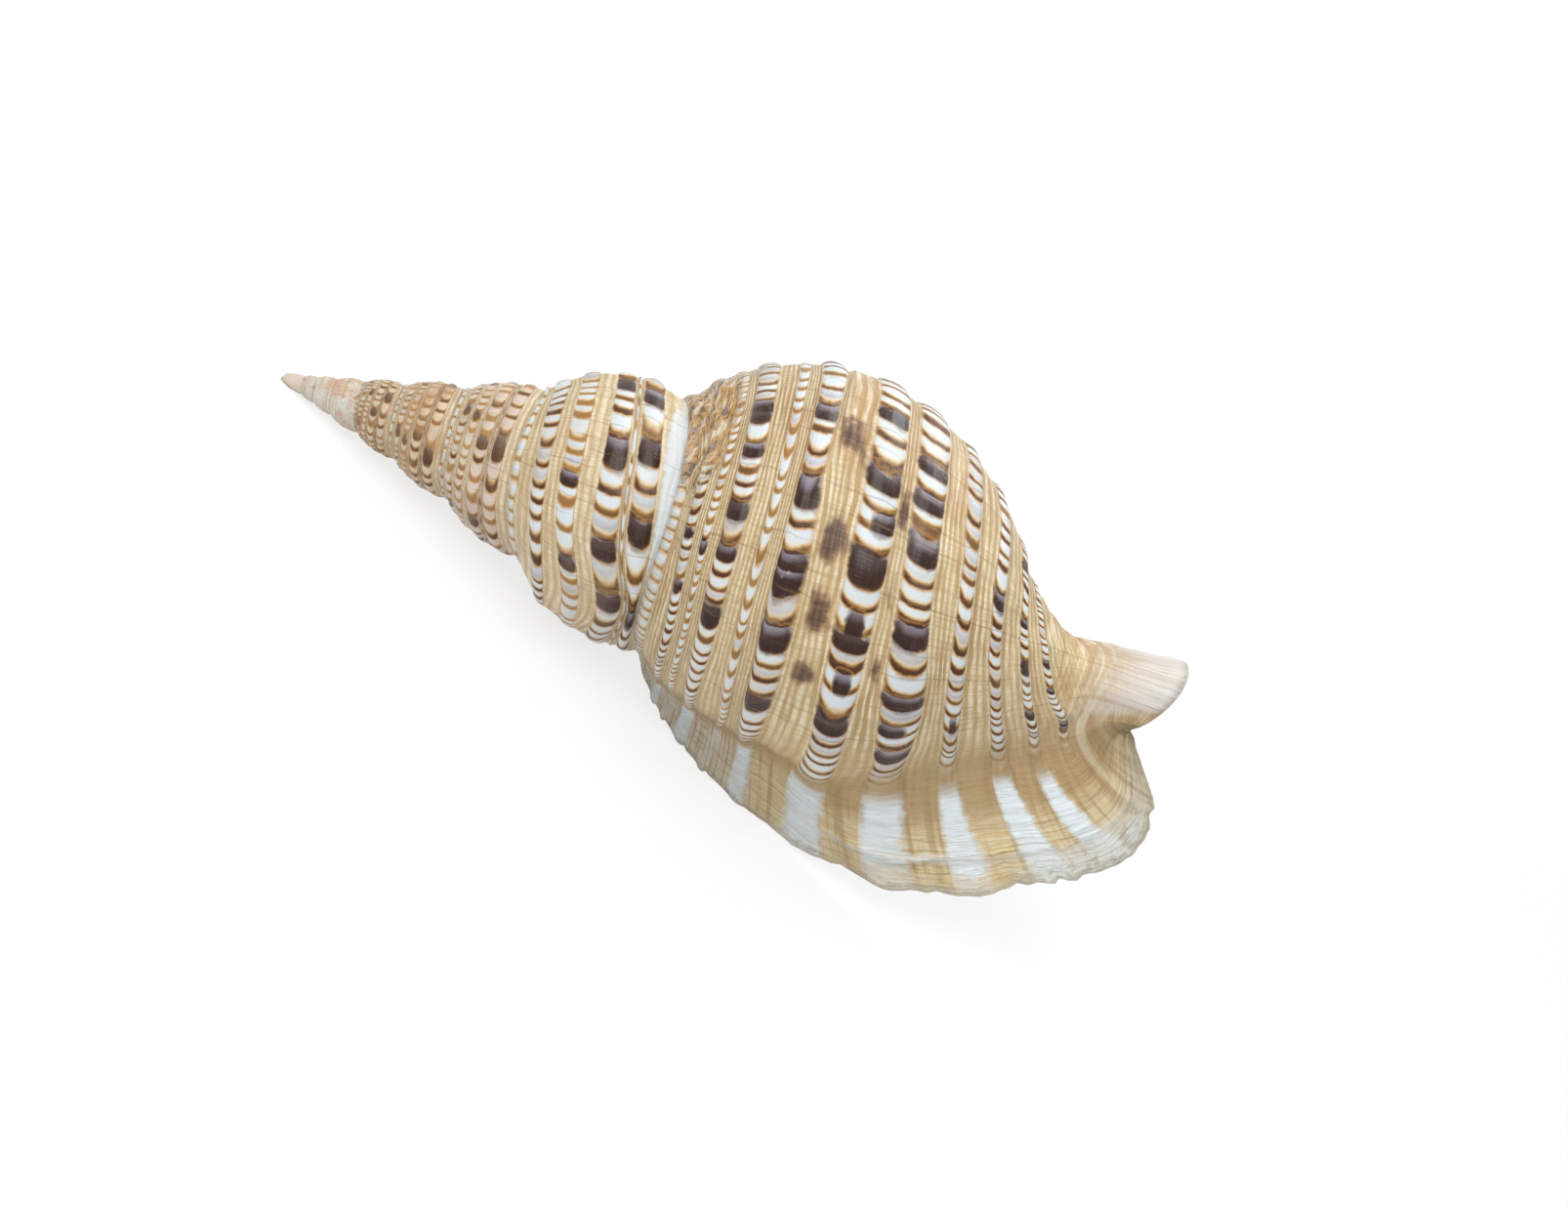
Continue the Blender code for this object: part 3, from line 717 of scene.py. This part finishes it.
def roundTip(bm, ring, tip, maps):
    tipValues = ((0, 11), (-1, 0), (-8, 0.5))
    middle = sum((e.verts[0].co for e in ring), Vector()) / len(ring)
    radius = {v: v.co - middle for e in ring for v in e.verts}
    for angle in (math.radians(30), math.radians(60)):
        made = bmesh.ops.extrude_edge_only(bm, edges=ring)["geom"]
        newRadius = {}
        for v in (g for g in made if isinstance(g, bmesh.types.BMVert)):
            newRadius[v] = radius[min(radius, key=lambda q: (q.co - v.co).length_squared)]
        for v, arm in newRadius.items():
            v.co = middle + arm * math.cos(angle) + (tip - middle) * math.sin(angle)
        for g in made:
            if isinstance(g, bmesh.types.BMFace):
                plainFace(g, maps, tipValues)
        ring = [g for g in made if isinstance(g, bmesh.types.BMEdge) and len(g.link_faces) == 1]
        radius = newRadius
    cap = bm.verts.new(tip)
    for e in ring:
        plainFace(bm.faces.new((*e.verts, cap)), maps, tipValues)


# finishes

paint = {
    "white": (0.62, 0.665, 0.70),
    "lilac": (0.36, 0.325, 0.345),
    "cream": (0.70, 0.60, 0.43),
    "gold": (0.50, 0.262, 0.072),
    "brown": (0.072, 0.024, 0.009),
    "darkTop": (0.064, 0.032, 0.028),
    "mauve": (0.28, 0.245, 0.285),
    "darkLow": (0.026, 0.007, 0.003),
    "darkBrown": (0.090, 0.036, 0.016),
    "tan": (0.605, 0.47, 0.275),
    "tanGold": (0.61, 0.45, 0.24),
    "tanLight": (0.82, 0.715, 0.515),
    "tanDeep": (0.43, 0.28, 0.125),
    "earlyCream": (0.72, 0.57, 0.37),
    "tanBrown": (0.40, 0.225, 0.10),
    "growth": (0.22, 0.115, 0.045),
    "lipWhite": (0.90, 0.96, 0.99),
    "lipTan": (0.77, 0.565, 0.29),
    "lipLight": (0.88, 0.75, 0.49),
    "lipDeep": (0.46, 0.29, 0.125),
    "chip": (0.52, 0.30, 0.20),
    "crust": (0.90, 0.87, 0.80),
    "rim": (0.56, 0.49, 0.38),
    "stone": (0.82, 0.80, 0.73),
    "rosy": (0.44, 0.235, 0.105),
    "canal": (0.67, 0.61, 0.53),
    "dusk": (0.47, 0.40, 0.36),
    "canalPale": (0.73, 0.71, 0.68),
    "pink": (0.62, 0.44, 0.33),
    "worn": (0.66, 0.63, 0.56),
    "orange": (0.80, 0.42, 0.20),
    "inner": (0.88, 0.70, 0.54),
}


building = {"tree": None}  # the node tree that new nodes go into


class Wire:  # what a node gives out, with ordinary arithmetic
    def __init__(self, socket):
        self.socket = socket

    def __add__(self, other):
        return calc("ADD", self, other)

    def __sub__(self, other):
        return calc("SUBTRACT", self, other)

    def __rsub__(self, other):
        return calc("SUBTRACT", other, self)

    def __mul__(self, other):
        return calc("MULTIPLY", self, other)

    def __truediv__(self, other):
        return calc("DIVIDE", self, other)


def feed(value, socket):
    if isinstance(value, Wire):
        building["tree"].links.new(value.socket, socket)
    elif isinstance(value, tuple) and len(socket.default_value) == 4:
        socket.default_value = (*value, 1)
    else:
        socket.default_value = value


def node(kind, feeds=None, **settings):
    made = building["tree"].nodes.new(kind)
    for key, value in settings.items():
        setattr(made, key, value)
    for socket, value in (feeds or {}).items():
        feed(value, made.inputs[socket])
    return made


def gives(made, output=0):
    return Wire(made.outputs[output])


def calc(operation, a, b=0.0, c=0.0):
    return gives(node("ShaderNodeMath", {0: a, 1: b, 2: c}, operation=operation))


def between(value, low, high, first=0.0, last=1.0):  # smooth change from low to high
    feeds = {"Value": value, "From Min": low, "From Max": high, "To Min": first, "To Max": last}
    return gives(node("ShaderNodeMapRange", feeds, interpolation_type="SMOOTHSTEP"))


def band(value, low, high, soft):  # 1 between low and high
    return between(value, low - soft, low + soft) * between(value, high - soft, high + soft, 1.0, 0.0)


def blend(share, a, b):
    return gives(node("ShaderNodeMix", {0: share, 6: a, 7: b}, data_type="RGBA"), 2)


def coats(colour, *layers):  # each coat is where it shows, and its paint
    for share, name in layers:
        colour = blend(share, colour, paint[name])
    return colour


def vector(x, y, z=0.0):
    return gives(node("ShaderNodeCombineXYZ", {0: x, 1: y, 2: z}))


def parts(value):  # the numbers in a vector or a colour
    made = node("ShaderNodeSeparateXYZ", {0: value})
    return [gives(made, k) for k in range(3)]


def mapValues(name):  # both numbers of one of the shell's own maps
    return parts(gives(node("ShaderNodeUVMap", uv_map=name)))[:2]


def onObject():
    return gives(node("ShaderNodeTexCoord"), "Object")


def noiseAt(place, scale, detail=2.0, roughness=0.5):
    feeds = {"Vector": place, "Scale": scale, "Detail": detail, "Roughness": roughness}
    return gives(node("ShaderNodeTexNoise", feeds))


def noiseOver(x, y, detail=3.0, roughness=0.5):
    return noiseAt(vector(x, y), 1.0, detail, roughness)


def spots(place, scale):  # scattered spots: how far to the middle of one, and its own colour
    made = node("ShaderNodeTexVoronoi", {"Vector": place, "Scale": scale}, feature="F1")
    return gives(made, "Distance"), gives(made, "Color")


def seenDirectly():  # 1 for what the camera or a reflection sees
    path = node("ShaderNodeLightPath")
    return calc("MAXIMUM", gives(path, "Is Camera Ray"), gives(path, "Is Glossy Ray"))


def newGroup(name, inputs, outputs):
    group = bpy.data.node_groups.new(name, "ShaderNodeTree")
    for label, usual in inputs.items():
        group.interface.new_socket(label, in_out="INPUT", socket_type="NodeSocketFloat").default_value = usual
    for label in outputs:
        group.interface.new_socket(label, in_out="OUTPUT", socket_type="NodeSocketFloat")
    building["tree"] = group
    taken = node("NodeGroupInput")
    return group, [gives(taken, label) for label in inputs], node("NodeGroupOutput").inputs


def growthGroup():  # thin uneven lines where the shell stopped growing, and the fine ones between
    inputs = {"turn": 0.0, "place": 0.0, "spacing": 45.0, "waviness": 0.1}
    group, (turn, place, spacing, waviness), results = newGroup("growthLines", inputs, ("strong", "fine"))
    wander = noiseOver(turn * 20.0, place * 7.0)
    count = turn * spacing + (wander - 0.5) * (waviness * 10.0)
    cracks = node("ShaderNodeTexVoronoi", {"W": count, "Scale": 1.0}, voronoi_dimensions="1D",
                  feature="DISTANCE_TO_EDGE")
    line = between(gives(cracks, "Distance"), 0.015, 0.06, 1.0, 0.0)
    weak = noiseOver(count * 0.7, place * 3.0, 1.0)
    feed(line * between(weak, 0.4, 0.62), results["strong"])
    feed(noiseOver(count * 9.0, place * 9.0, 3.0, 0.6), results["fine"])
    return group


def wearGroup():  # dull pale patches and tiny pits
    group, (amount,), results = newGroup("wear", {"amount": 0.5}, ("patches", "pits"))
    place = onObject()
    patches = between(noiseAt(place, 38.0, 6.0, 0.65), 0.52, 0.74) * amount
    pits = between(spots(place, 260.0)[0], 0.08, 0.2, 1.0, 0.0)
    some = between(noiseAt(place, 90.0, 2.0), 0.55, 0.65)
    feed(patches, results["patches"])
    feed(pits * some, results["pits"])
    return group


def useGroup(group, **values):
    made = node("ShaderNodeGroup", values, node_tree=group)
    return gives(made, 0), gives(made, 1)


def startFinish(name):
    mat = bpy.data.materials.new(name)
    mat.use_nodes = True
    building["tree"] = mat.node_tree
    return mat, mat.node_tree.nodes["Principled BSDF"]


def surface(shader, height):  # height in mm
    bump = node("ShaderNodeBump", {"Strength": 1.0, "Distance": 0.001, "Height": height})
    feed(gives(bump), shader.inputs["Normal"])


def markedRib(turn, count, bandNumber, wobble, ripple):  # where a point is on its rib, and in which cell
    ribNumber = calc("FLOOR", bandNumber * 0.5) * 2.0
    across = bandNumber - ribNumber
    soft = across + wobble * 0.14
    side = calc("ABSOLUTE", calc("MINIMUM", across, 1.0) * 2.0 - 1.0)
    slow = noiseOver(count * 0.45, ribNumber, 1.0)
    bow = (1.0 - calc("POWER", side, 2.8)) * between(slow, 0.3, 0.7, 0.3, 0.52)
    bow = bow * between(turn, -1.0, -1.1, 1.0, 0.55)
    phase = count - bow + wobble * 0.16 + ripple * 0.05
    cell, part = calc("FLOOR", phase), calc("FRACT", phase)
    chance = node("ShaderNodeTexWhiteNoise", {"Vector": vector(cell + 0.5, ribNumber)}, noise_dimensions="2D")
    chances = parts(gives(chance, "Color"))
    onRib = band(soft, 0.03, 0.97, 0.05) * calc("LESS_THAN", bandNumber, 23.0)
    return ribNumber, across, side, part, onRib, chances


def ribPaint(part, side, chances, isFaint, early, earlier, broad, fine):  # pale, golden fringe, brown arc
    lilacPart = between(chances[1], 0.7, 0.84) * between(part, 0.05, 0.55, 0.3, 0.85)
    pale = coats(paint["white"],
                 (lilacPart, "lilac"),
                 (between(broad, 0.35, 0.65) * 0.2, "cream"),
                 (between(fine, 0.45, 0.75) * 0.22, "cream"),
                 (early * between(broad, 0.38, 0.6, 0.95, 0.55), "pink"),
                 (earlier * between(chances[1], 0.2, 0.7, 0.2, 0.9), "earlyCream"))
    start = 0.6 - chances[0] * 0.2 - calc("POWER", side, 3.0) * 0.16
    fringe = between(part, start - 0.1, start + 0.14)
    gold = between(part, start, start + 0.24)
    core = between(part, start + 0.1, start + 0.32) * between(part, 0.93, 1.0, 1.0, 0.1)
    brown = core * (1.0 - isFaint * 0.5) * between(chances[2], 0.0, 0.5, 0.78, 1.0)
    brown = brown * (1.0 - early * between(chances[1], 0.35, 0.65, 1.0, 0.1) * 0.7)
    colour = coats(pale,
                   (fringe, "cream"),
                   (calc("MAXIMUM", gold, between(part, 0.0, 0.13, 0.8, 0.0)), "gold"),
                   (early * gold * 0.6, "rosy"),
                   (brown, "brown"))
    # painted shade: the rib's flanks turn darker brown, most towards the lip side of each cell
    paintedFlankShade = between(side, 0.8, 1.0) * between(part, 0.35, 0.8, 0.15, 0.6)
    colour = blend(between(side, 0.74, 1.0) * 0.65, colour, blend(early, paint["gold"], paint["rosy"]))
    return blend(paintedFlankShade * 0.8, colour, paint["tanBrown"])


def gapPaint(turn, place, threads, broad, fine, ridge, darkShare, early):  # golden, with fine pale cords
    own = node("ShaderNodeTexWhiteNoise", {"W": calc("ROUND", threads)}, noise_dimensions="1D")
    width = gives(own, "Value") * 0.5 + 0.3
    alongCord = noiseOver(turn * 34.0, threads * 1.3, 3.0, 0.6)
    cord = between(ridge, width, width + 0.22) * between(alongCord, 0.36, 0.6, 0.25, 1.0)
    cord = cord * between(turn, -0.075, -0.13, 0.25, 1.0) * between(place, 1.64, 1.76, 1.0, 0.15)
    streaky = noiseOver(turn * 14.0, threads * 0.55, 3.0, 0.6)
    colour = coats(paint["tan"],
                   (between(streaky, 0.4, 0.6), "tanDeep"),
                   (between(broad, 0.4, 0.62) * 0.6, "tanGold"),
                   (early * 0.45, "pink"),
                   (between(turn, -1.03, -1.1) * between(ridge, 0.45, 0.75, 0.45, 0.0), "cream"))
    older = band(turn, -0.66, -0.325, 0.03) * between(streaky, 0.35, 0.6, 0.15, 0.7)
    colour = coats(colour,
                   (older, "tanBrown"),
                   (cord * between(older, 0.0, 0.8, 0.8, 0.5), "tanLight"),
                   # painted shade: darker tan in the grooves between the fine cords, where the relief is
                   # lowest
                   (between(ridge, 0.2, 0.0) * 0.58, "tanDeep"),
                   (between(fine, 0.47, 0.62) * 0.42, "tanDeep"))
    blotch = darkShare * between(fine + cord * 0.15, 0.3, 0.8, 1.0, 0.75)
    return coats(colour,
                 (between(blotch, 0.0, 0.8) * 0.85, "tanBrown"),
                 (between(blotch, 0.15, 1.0) * 0.92, "darkTop"))


# the ribs go on as white bands over the flared lip, with tan and thin wavy lines between
def lipPaint(turn, place, across, bandNumber, objectPlace, wobble, isFaint, lipLines):
    uneven = noiseOver(turn * 30.0, place * 5.0, 3.0, 0.6)
    shifted = turn + (uneven - 0.5) * 0.016
    shows = between(shifted + between(place, 1.1, 1.35, 0.0, 0.012), -0.048, -0.032)
    edge = across + wobble * 0.3 + (uneven - 0.5) * 0.5
    white = band(edge, 0.04, 0.96, 0.18) * (1.0 - isFaint * 0.7)
    white = white * shows * calc("LESS_THAN", bandNumber, 22.0)
    ground = coats(paint["lipTan"],
                   (between(lipLines[1], 0.36, 0.64), "lipLight"),
                   (between(place, 1.05, 0.75, 0.0, 0.55), "stone"),
                   # painted shade: the ground is darker deep tan where the body wall turns into the flare
                   (between(turn, -0.044, -0.026, 0.75, 0.0), "lipDeep"),
                   (lipLines[0] * 0.65, "gold"))
    rays = noiseOver(turn * 12.0, place * 60.0)
    ground = blend(between(rays, 0.47, 0.62) * 0.62, ground, paint["lipDeep"])
    pale = coats(paint["lipWhite"],
                 (lipLines[0] * 0.45, "lipTan"),
                 (between(lipLines[1], 0.5, 0.7) * 0.3, "cream"))
    colour = blend(white, ground, pale)
    chipDistance, chipColour = spots(objectPlace, 170.0)
    chip = between(chipDistance + wobble * 0.9, 0.1, 0.22, 1.0, 0.0)
    chip = chip * calc("GREATER_THAN", parts(chipColour)[0], 0.93)
    crust = band(shifted, -0.0185, -0.0145, 0.0016) * band(place, 1.22, 1.8, 0.05)
    crust = crust * between(uneven, 0.38, 0.52, 0.35, 1.0)
    outer = between(shifted, -0.013, -0.006) * between(place, 1.15, 1.35, 0.1, 0.55)
    colour = blend(outer, colour, blend(between(uneven, 0.42, 0.56), paint["stone"], paint["lipTan"]))
    bent = turn * 560.0 + (uneven - 0.5) * 5.0
    wrinkles = noiseOver(bent, place * 7.0, 2.0, 0.55)
    colour = coats(colour,
                   (between(wrinkles, 0.52, 0.64) * between(white, 0.0, 1.0, 0.36, 0.12), "lipDeep"),
                   (between(wrinkles, 0.46, 0.36) * between(turn, -0.035, -0.015, 0.0, 0.3), "lipLight"),
                   (crust * 0.8, "crust"),
                   (chip * 0.75, "chip"))
    corner = between(place, 1.6, 1.74) * between(place, 1.93, 1.86) * between(shifted, -0.024, -0.01)
    colour = coats(colour,
                   (corner * between(uneven, 0.35, 0.6, 0.95, 0.45), "stone"),
                   (corner * between(noiseAt(objectPlace, 210.0, 3.0, 0.6), 0.54, 0.64, 0.0, 0.75), "rim"))
    return colour, crust, corner, wrinkles


def canalPaint(turn, place, bandNumber, wobble, broad):
    onCanal = between(bandNumber, 22.9, 23.1) * between(place + wobble * 0.08, 1.76, 1.92)
    onCanal = onCanal * between(turn + place * 0.5, 0.8, 0.88, 1.0, 0.0)
    streak = noiseOver(turn * 60.0, place * 3.0)
    softStreak = noiseOver(turn * 11.0, place * 2.0, 2.0)
    colour = coats(paint["canal"],
                   (between(place, 1.82, 1.96), "canalPale"),
                   (between(streak, 0.45, 0.62) * between(place, 1.84, 1.94, 0.75, 0.2), "lipDeep"),
                   (between(broad, 0.45, 0.65) * 0.25, "pink"),
                   (between(softStreak, 0.46, 0.58) * 0.45, "dusk"))
    return onCanal, colour


def scarPaint(turn, place, wobble, ripple):  # a healed break beside the suture
    along = (turn - scar["turn"]) / 0.1
    across = (place - scar["place"]) / 0.19
    onScar = between(along * along + across * across + wobble * 1.4, 1.3, 0.5)
    wrinkle = noiseOver(turn * 48.0 + place * 22.0, place * 20.0, 3.0, 0.6)
    colour = coats(paint["brown"],
                   (between(ripple, -0.05, 0.12), "mauve"),
                   (between(wrinkle, 0.38, 0.48), "gold"),
                   (between(wrinkle, 0.5, 0.6), "cream"))
    return onScar, colour, wrinkle


def tipPaint(turn, place, objectPlace, broad):  # worn and patchy
    tip = between(turn + (broad - 0.5) * 3.5, -4.3, -5.1)
    patches = noiseAt(objectPlace, 110.0, 3.0, 0.6)
    streaks = noiseOver(turn * 1.5, place * 9.0)
    spotty = noiseAt(objectPlace, 200.0, 2.0)
    colour = coats(paint["worn"],
                   (between(patches, 0.46, 0.6), "pink"),
                   (between(streaks, 0.5, 0.6, 0.0, 0.65), "gold"),
                   (between(spotty, 0.6, 0.7), "tanBrown"))
    colour = blend(between(turn, -7.0, -7.6), colour, blend(0.5, paint["worn"], paint["pink"]))
    return tip, colour


def outsideNodes():
    mat, shader = startFinish("shellOutside")
    count, bandNumber = mapValues("cells")
    dark, threads = mapValues("marks")
    turn, place = mapValues("growth")
    objectPlace = onObject()
    wobble, ripple = [noiseAt(objectPlace, scale, 2.0) - 0.5 for scale in (420.0, 1100.0)]
    ribNumber, across, side, part, onRib, chances = markedRib(turn, count, bandNumber, wobble, ripple)
    lines = useGroup(growthLines, turn=turn, place=place, spacing=48.0, waviness=0.04)
    lipLines = useGroup(growthLines, turn=turn, place=place, spacing=330.0, waviness=0.16)
    wear = useGroup(wearPatches, amount=0.55)
    broad = noiseAt(objectPlace, 22.0, 3.0)
    early = between(turn, -1.95, -2.12)
    earlier = between(turn, -2.95, -3.15)
    isFaint = calc("MAXIMUM", calc("COMPARE", ribNumber, 8.0, 0.5), calc("COMPARE", ribNumber, 4.0, 0.5))

    wander = noiseOver(turn * 20.0, threads * 0.3, 1.0) - 0.5
    ridge = calc("COSINE", (threads + wander * 0.9) * (2 * math.pi)) * 0.5 + 0.5

    torn = dark + wobble * 0.24 + ripple * 0.06 + (noiseAt(objectPlace, 170.0, 1.0) - 0.5) * 0.4
    darkShare = between(torn, -0.1, 0.1)
    halo = between(torn, -0.24, -0.08) * between(part, 0.25, 0.6, 0.45, 0.85)
    ribColour = ribPaint(part, side, chances, isFaint, early, earlier, broad, lines[1])
    ribColour = blend(halo, ribColour, blend(between(torn, -0.22, -0.02), paint["gold"], paint["brown"]))
    scratches = noiseOver(turn * 26.0, threads * 2.4, 3.0, 0.7)
    darkPaint = coats(paint["darkTop"],
                      (between(part, 0.0, 0.55), "darkLow"),
                      (between(scratches, 0.48, 0.7) * 0.6, "darkTop"))
    mauve = between(chances[1], 0.2, 0.75) * between(part, 0.02, 0.5, 0.85, 0.0)
    mauve = mauve * between(side, 0.45, 0.9, 1.0, 0.25)
    darkPaint = coats(darkPaint,
                      (mauve, "mauve"),
                      (early * 0.8, "darkBrown"))
    ribColour = blend(darkShare * 0.97, ribColour, darkPaint)

    softDark = between(torn + wander * 0.5, -0.22, 0.3)
    gapColour = gapPaint(turn, place, threads, broad, lines[1], ridge, softDark, early)
    colour = blend(onRib, gapColour, ribColour)

    stain = between(noiseAt(objectPlace, 75.0, 2.0), 0.48, 0.66)
    colour = coats(colour,
                   (earlier * stain * 0.55, "rosy"),
                   (between(broad, 0.5, 0.66) * (between(turn, -0.3, -0.38) * 0.22), "tanBrown"))

    # beads by the suture, and a white glaze along the next one
    onBead = band(bandNumber, 0.05, 0.95, 0.12) * between(turn, -5.2, -4.6)
    beadGap = calc("PINGPONG", count, 0.5)
    beadPaint = coats(paint["tanBrown"],
                      (between(beadGap, 0.04, 0.2), "cream"),
                      (between(beadGap, 0.24, 0.42), "white"))
    colour = blend(onBead * 0.9, colour, beadPaint)
    glazeWidth = band(turn, -1.4, -1.06, 0.05)
    glaze = between(bandNumber + wobble * 0.3 + glazeWidth * 0.3, 11.3, 11.48)
    glaze = glaze * (band(turn, -2.0, -1.01, 0.02) * between(glazeWidth, 0.0, 1.0, 0.45, 0.85))
    colour = blend(glaze, colour, blend(between(turn, -1.22, -1.14), paint["white"], paint["cream"]))
    colour = blend(lines[0] * 0.32, colour, paint["growth"])

    # flared lip, neck and canal, scar, tip, and small rubbed spots
    turnWobble = turn + wobble * 0.012
    turnSooner = turnWobble + between(place, 1.12, 1.4, 0.0, 0.013)
    onLip = between(turnSooner, -0.072, -0.046) * between(place, 0.03, 0.12)
    flare, crust, corner, wrinkles = lipPaint(turn, place, across, bandNumber, objectPlace, wobble, isFaint,
                                              lipLines)
    colour = blend(onLip, colour, flare)
    rim = between(turnWobble, -0.0045, -0.001) * between(place, 0.05, 0.2)
    colour = blend(rim * 0.65, colour, paint["rim"])

    onNeck = between(bandNumber, 22.9, 23.1) * between(place, 1.98, 1.8)
    rays = noiseOver(turn * 5.0, place * 62.0, 2.0)
    colour = coats(colour,
                   (onNeck * between(rays, 0.5, 0.62) * 0.6, "tanBrown"),
                   (onNeck * between(rays, 0.46, 0.36) * 0.55, "tanLight"))
    onCanal, canalColour = canalPaint(turn, place, bandNumber, wobble, broad)
    colour = blend(onCanal * 0.92, colour, canalColour)
    onScar, scarColour, wrinkle = scarPaint(turn, place, wobble, ripple)
    colour = blend(onScar * 0.85, colour, scarColour)
    tip, tipColour = tipPaint(turn, place, objectPlace, broad)
    colour = blend(tip * 0.85, colour, tipColour)
    colour = coats(colour,
                   (wear[0] * between(darkShare, 0.0, 1.0, 0.35, 0.1), "cream"),
                   (wear[1] * 0.25, "worn"))
    feed(colour, shader.inputs["Base Color"])

    dull = calc("MAXIMUM", calc("MAXIMUM", rim, tip), corner)
    feed(between(darkShare, 0.0, 1.0, 0.38, 0.26) + wear[0] * 0.25 + dull * 0.25, shader.inputs["Roughness"])
    shader.inputs["Specular IOR Level"].default_value = 0.22
    feed(between(darkShare, 0.0, 1.0, 0.04, 0.1), shader.inputs["Coat Weight"])
    shader.inputs["Coat Roughness"].default_value = 0.2

    smooth = 1.0 - calc("MAXIMUM", between(place, 1.66, 1.8), between(turn, -4.6, -5.2))
    grit = noiseAt(objectPlace, 520.0, 4.0, 0.65)
    height = ridge * smooth * between(onRib, 0.0, 1.0, 0.3, 0.06)
    height = height + lines[1] * 0.16 - lines[0] * 0.12
    height = height + onLip * lipLines[1] * 0.8
    height = height + onLip * wrinkles * between(turn, -0.04, -0.015, -0.5, -2.0)
    height = height + onLip * grit * between(turn, -0.022, -0.006, 0.1, 1.0) * 1.1
    height = height + onLip * crust * 0.5 + onScar * wrinkle * 1.6 - wear[1] * 0.15
    height = height + onBead * beadGap * 1.6
    surface(shader, height)
    return mat


def insideNodes():
    mat, shader = startFinish("shellInside")
    bandNumber = mapValues("cells")[1]
    turn, place = mapValues("growth")
    objectPlace = onObject()
    lines = useGroup(growthLines, turn=turn, place=place, spacing=60.0, waviness=0.1)
    wear = useGroup(wearPatches, amount=0.3)
    colour = coats(paint["orange"],
                   (between(turn, -0.35, -0.03), "inner"),
                   (between(lines[1], 0.4, 0.7) * 0.3, "inner"))
    teeth = calc("PINGPONG", (place - mouth["firstTooth"]) / mouth["toothStep"], 0.5)
    onWall = calc("LESS_THAN", bandNumber, 25.0)  # the columella has band 30
    blot = between(teeth, 0.26, 0.18) * band(turn, -0.03, -0.006, 0.004) * band(place, 0.25, 1.765, 0.01)
    colour = blend(blot * onWall, colour, paint["brown"])
    rim = between(turn, -0.012, -0.003) * onWall
    colour = blend(rim * 0.8, colour, paint["lipWhite"])
    foldWave = place * mouth["folds"] + calc("SINE", place * 9.0) * 0.6
    fold = calc("COSINE", foldWave * (2 * math.pi)) * 0.5 + 0.5
    onPillar = (1.0 - onWall) * between(turn, -0.62, -0.42)
    pillar = coats(paint["brown"],
                   (between(fold, 0.3, 0.62), "inner"),
                   (between(place, 1.1, 1.22, 1.0, 0.0), "inner"))
    colour = blend(onPillar, colour, pillar)
    colour = blend(wear[0] * 0.3, colour, paint["worn"])
    feed(colour, shader.inputs["Base Color"])
    feed(wear[0] * 0.3 + 0.18, shader.inputs["Roughness"])
    surface(shader, lines[1] * 0.08 - wear[1] * 0.1 + noiseAt(objectPlace, 120.0, 2.0) * 0.1)
    return mat


growthLines = growthGroup()
wearPatches = wearGroup()
shell = buildShell(outsideNodes(), insideNodes())
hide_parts("shell")
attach(shell, "root")
print("shell: %d faces" % len(shell.data.polygons))


# floor, light and camera

light = {
    "room": 0.42,
    "lamps": (
        {"place": (-0.27, -0.38, 0.93), "power": 9.8, "size": 0.9, "tint": (0.94, 0.975, 1.0)},
        {"place": (0.10, 0.50, 0.72), "power": 3.5, "size": 0.5, "tint": (0.80, 0.93, 1.0)},
    ),
}

view = {
    "place": (-0.07443, -0.49707, 0.33642),
    "angles": (52.5805, -36.1314, 13.6644),
    "sensor": 36,
    "lens": 39.2,
}


def paleFloor():
    mat, shader = startFinish("paleFloor")
    shader.inputs["Base Color"].default_value = (0.9, 0.9, 0.9, 1)
    shader.inputs["Roughness"].default_value = 0.8
    far = gives(node("ShaderNodeVectorMath", {0: onObject()}, operation="LENGTH"), "Value")
    share = between(far, 0.3, 0.9, 0.78, 1.0)  # all white further out
    feeds = {0: seenDirectly() * share, 1: gives(shader), 2: gives(node("ShaderNodeEmission"))}
    feed(gives(node("ShaderNodeMixShader", feeds)), mat.node_tree.nodes["Material Output"].inputs["Surface"])
    return mat


def addFloor():
    bpy.ops.object.select_all(action="DESELECT")
    bpy.ops.mesh.primitive_plane_add(size=30, location=(0, 0, 0))
    floor = bpy.context.object
    floor.name = "floor"
    floor.data.materials.append(paleFloor())


def addLights():
    world = bpy.data.worlds.new("softRoom")
    world.use_nodes = True
    building["tree"] = world.node_tree
    background = world.node_tree.nodes["Background"]
    background.inputs["Color"].default_value = (1, 1, 1, 1)
    feed(seenDirectly() * (1 - light["room"]) + light["room"], background.inputs["Strength"])
    bpy.context.scene.world = world
    for lamp in light["lamps"]:
        bpy.ops.object.light_add(type="AREA", location=lamp["place"])
        added = bpy.context.object
        added.data.energy, added.data.size, added.data.color = lamp["power"], lamp["size"], lamp["tint"]
        added.rotation_euler = Vector(lamp["place"]).to_track_quat("Z", "Y").to_euler()


def addCamera():
    bpy.ops.object.camera_add(location=view["place"])
    camera = bpy.context.object
    camera.rotation_euler = [math.radians(a) for a in view["angles"]]
    camera.data.sensor_width = view["sensor"]
    camera.data.lens = view["lens"]
    bpy.context.scene.camera = camera


addFloor()
addLights()
addCamera()
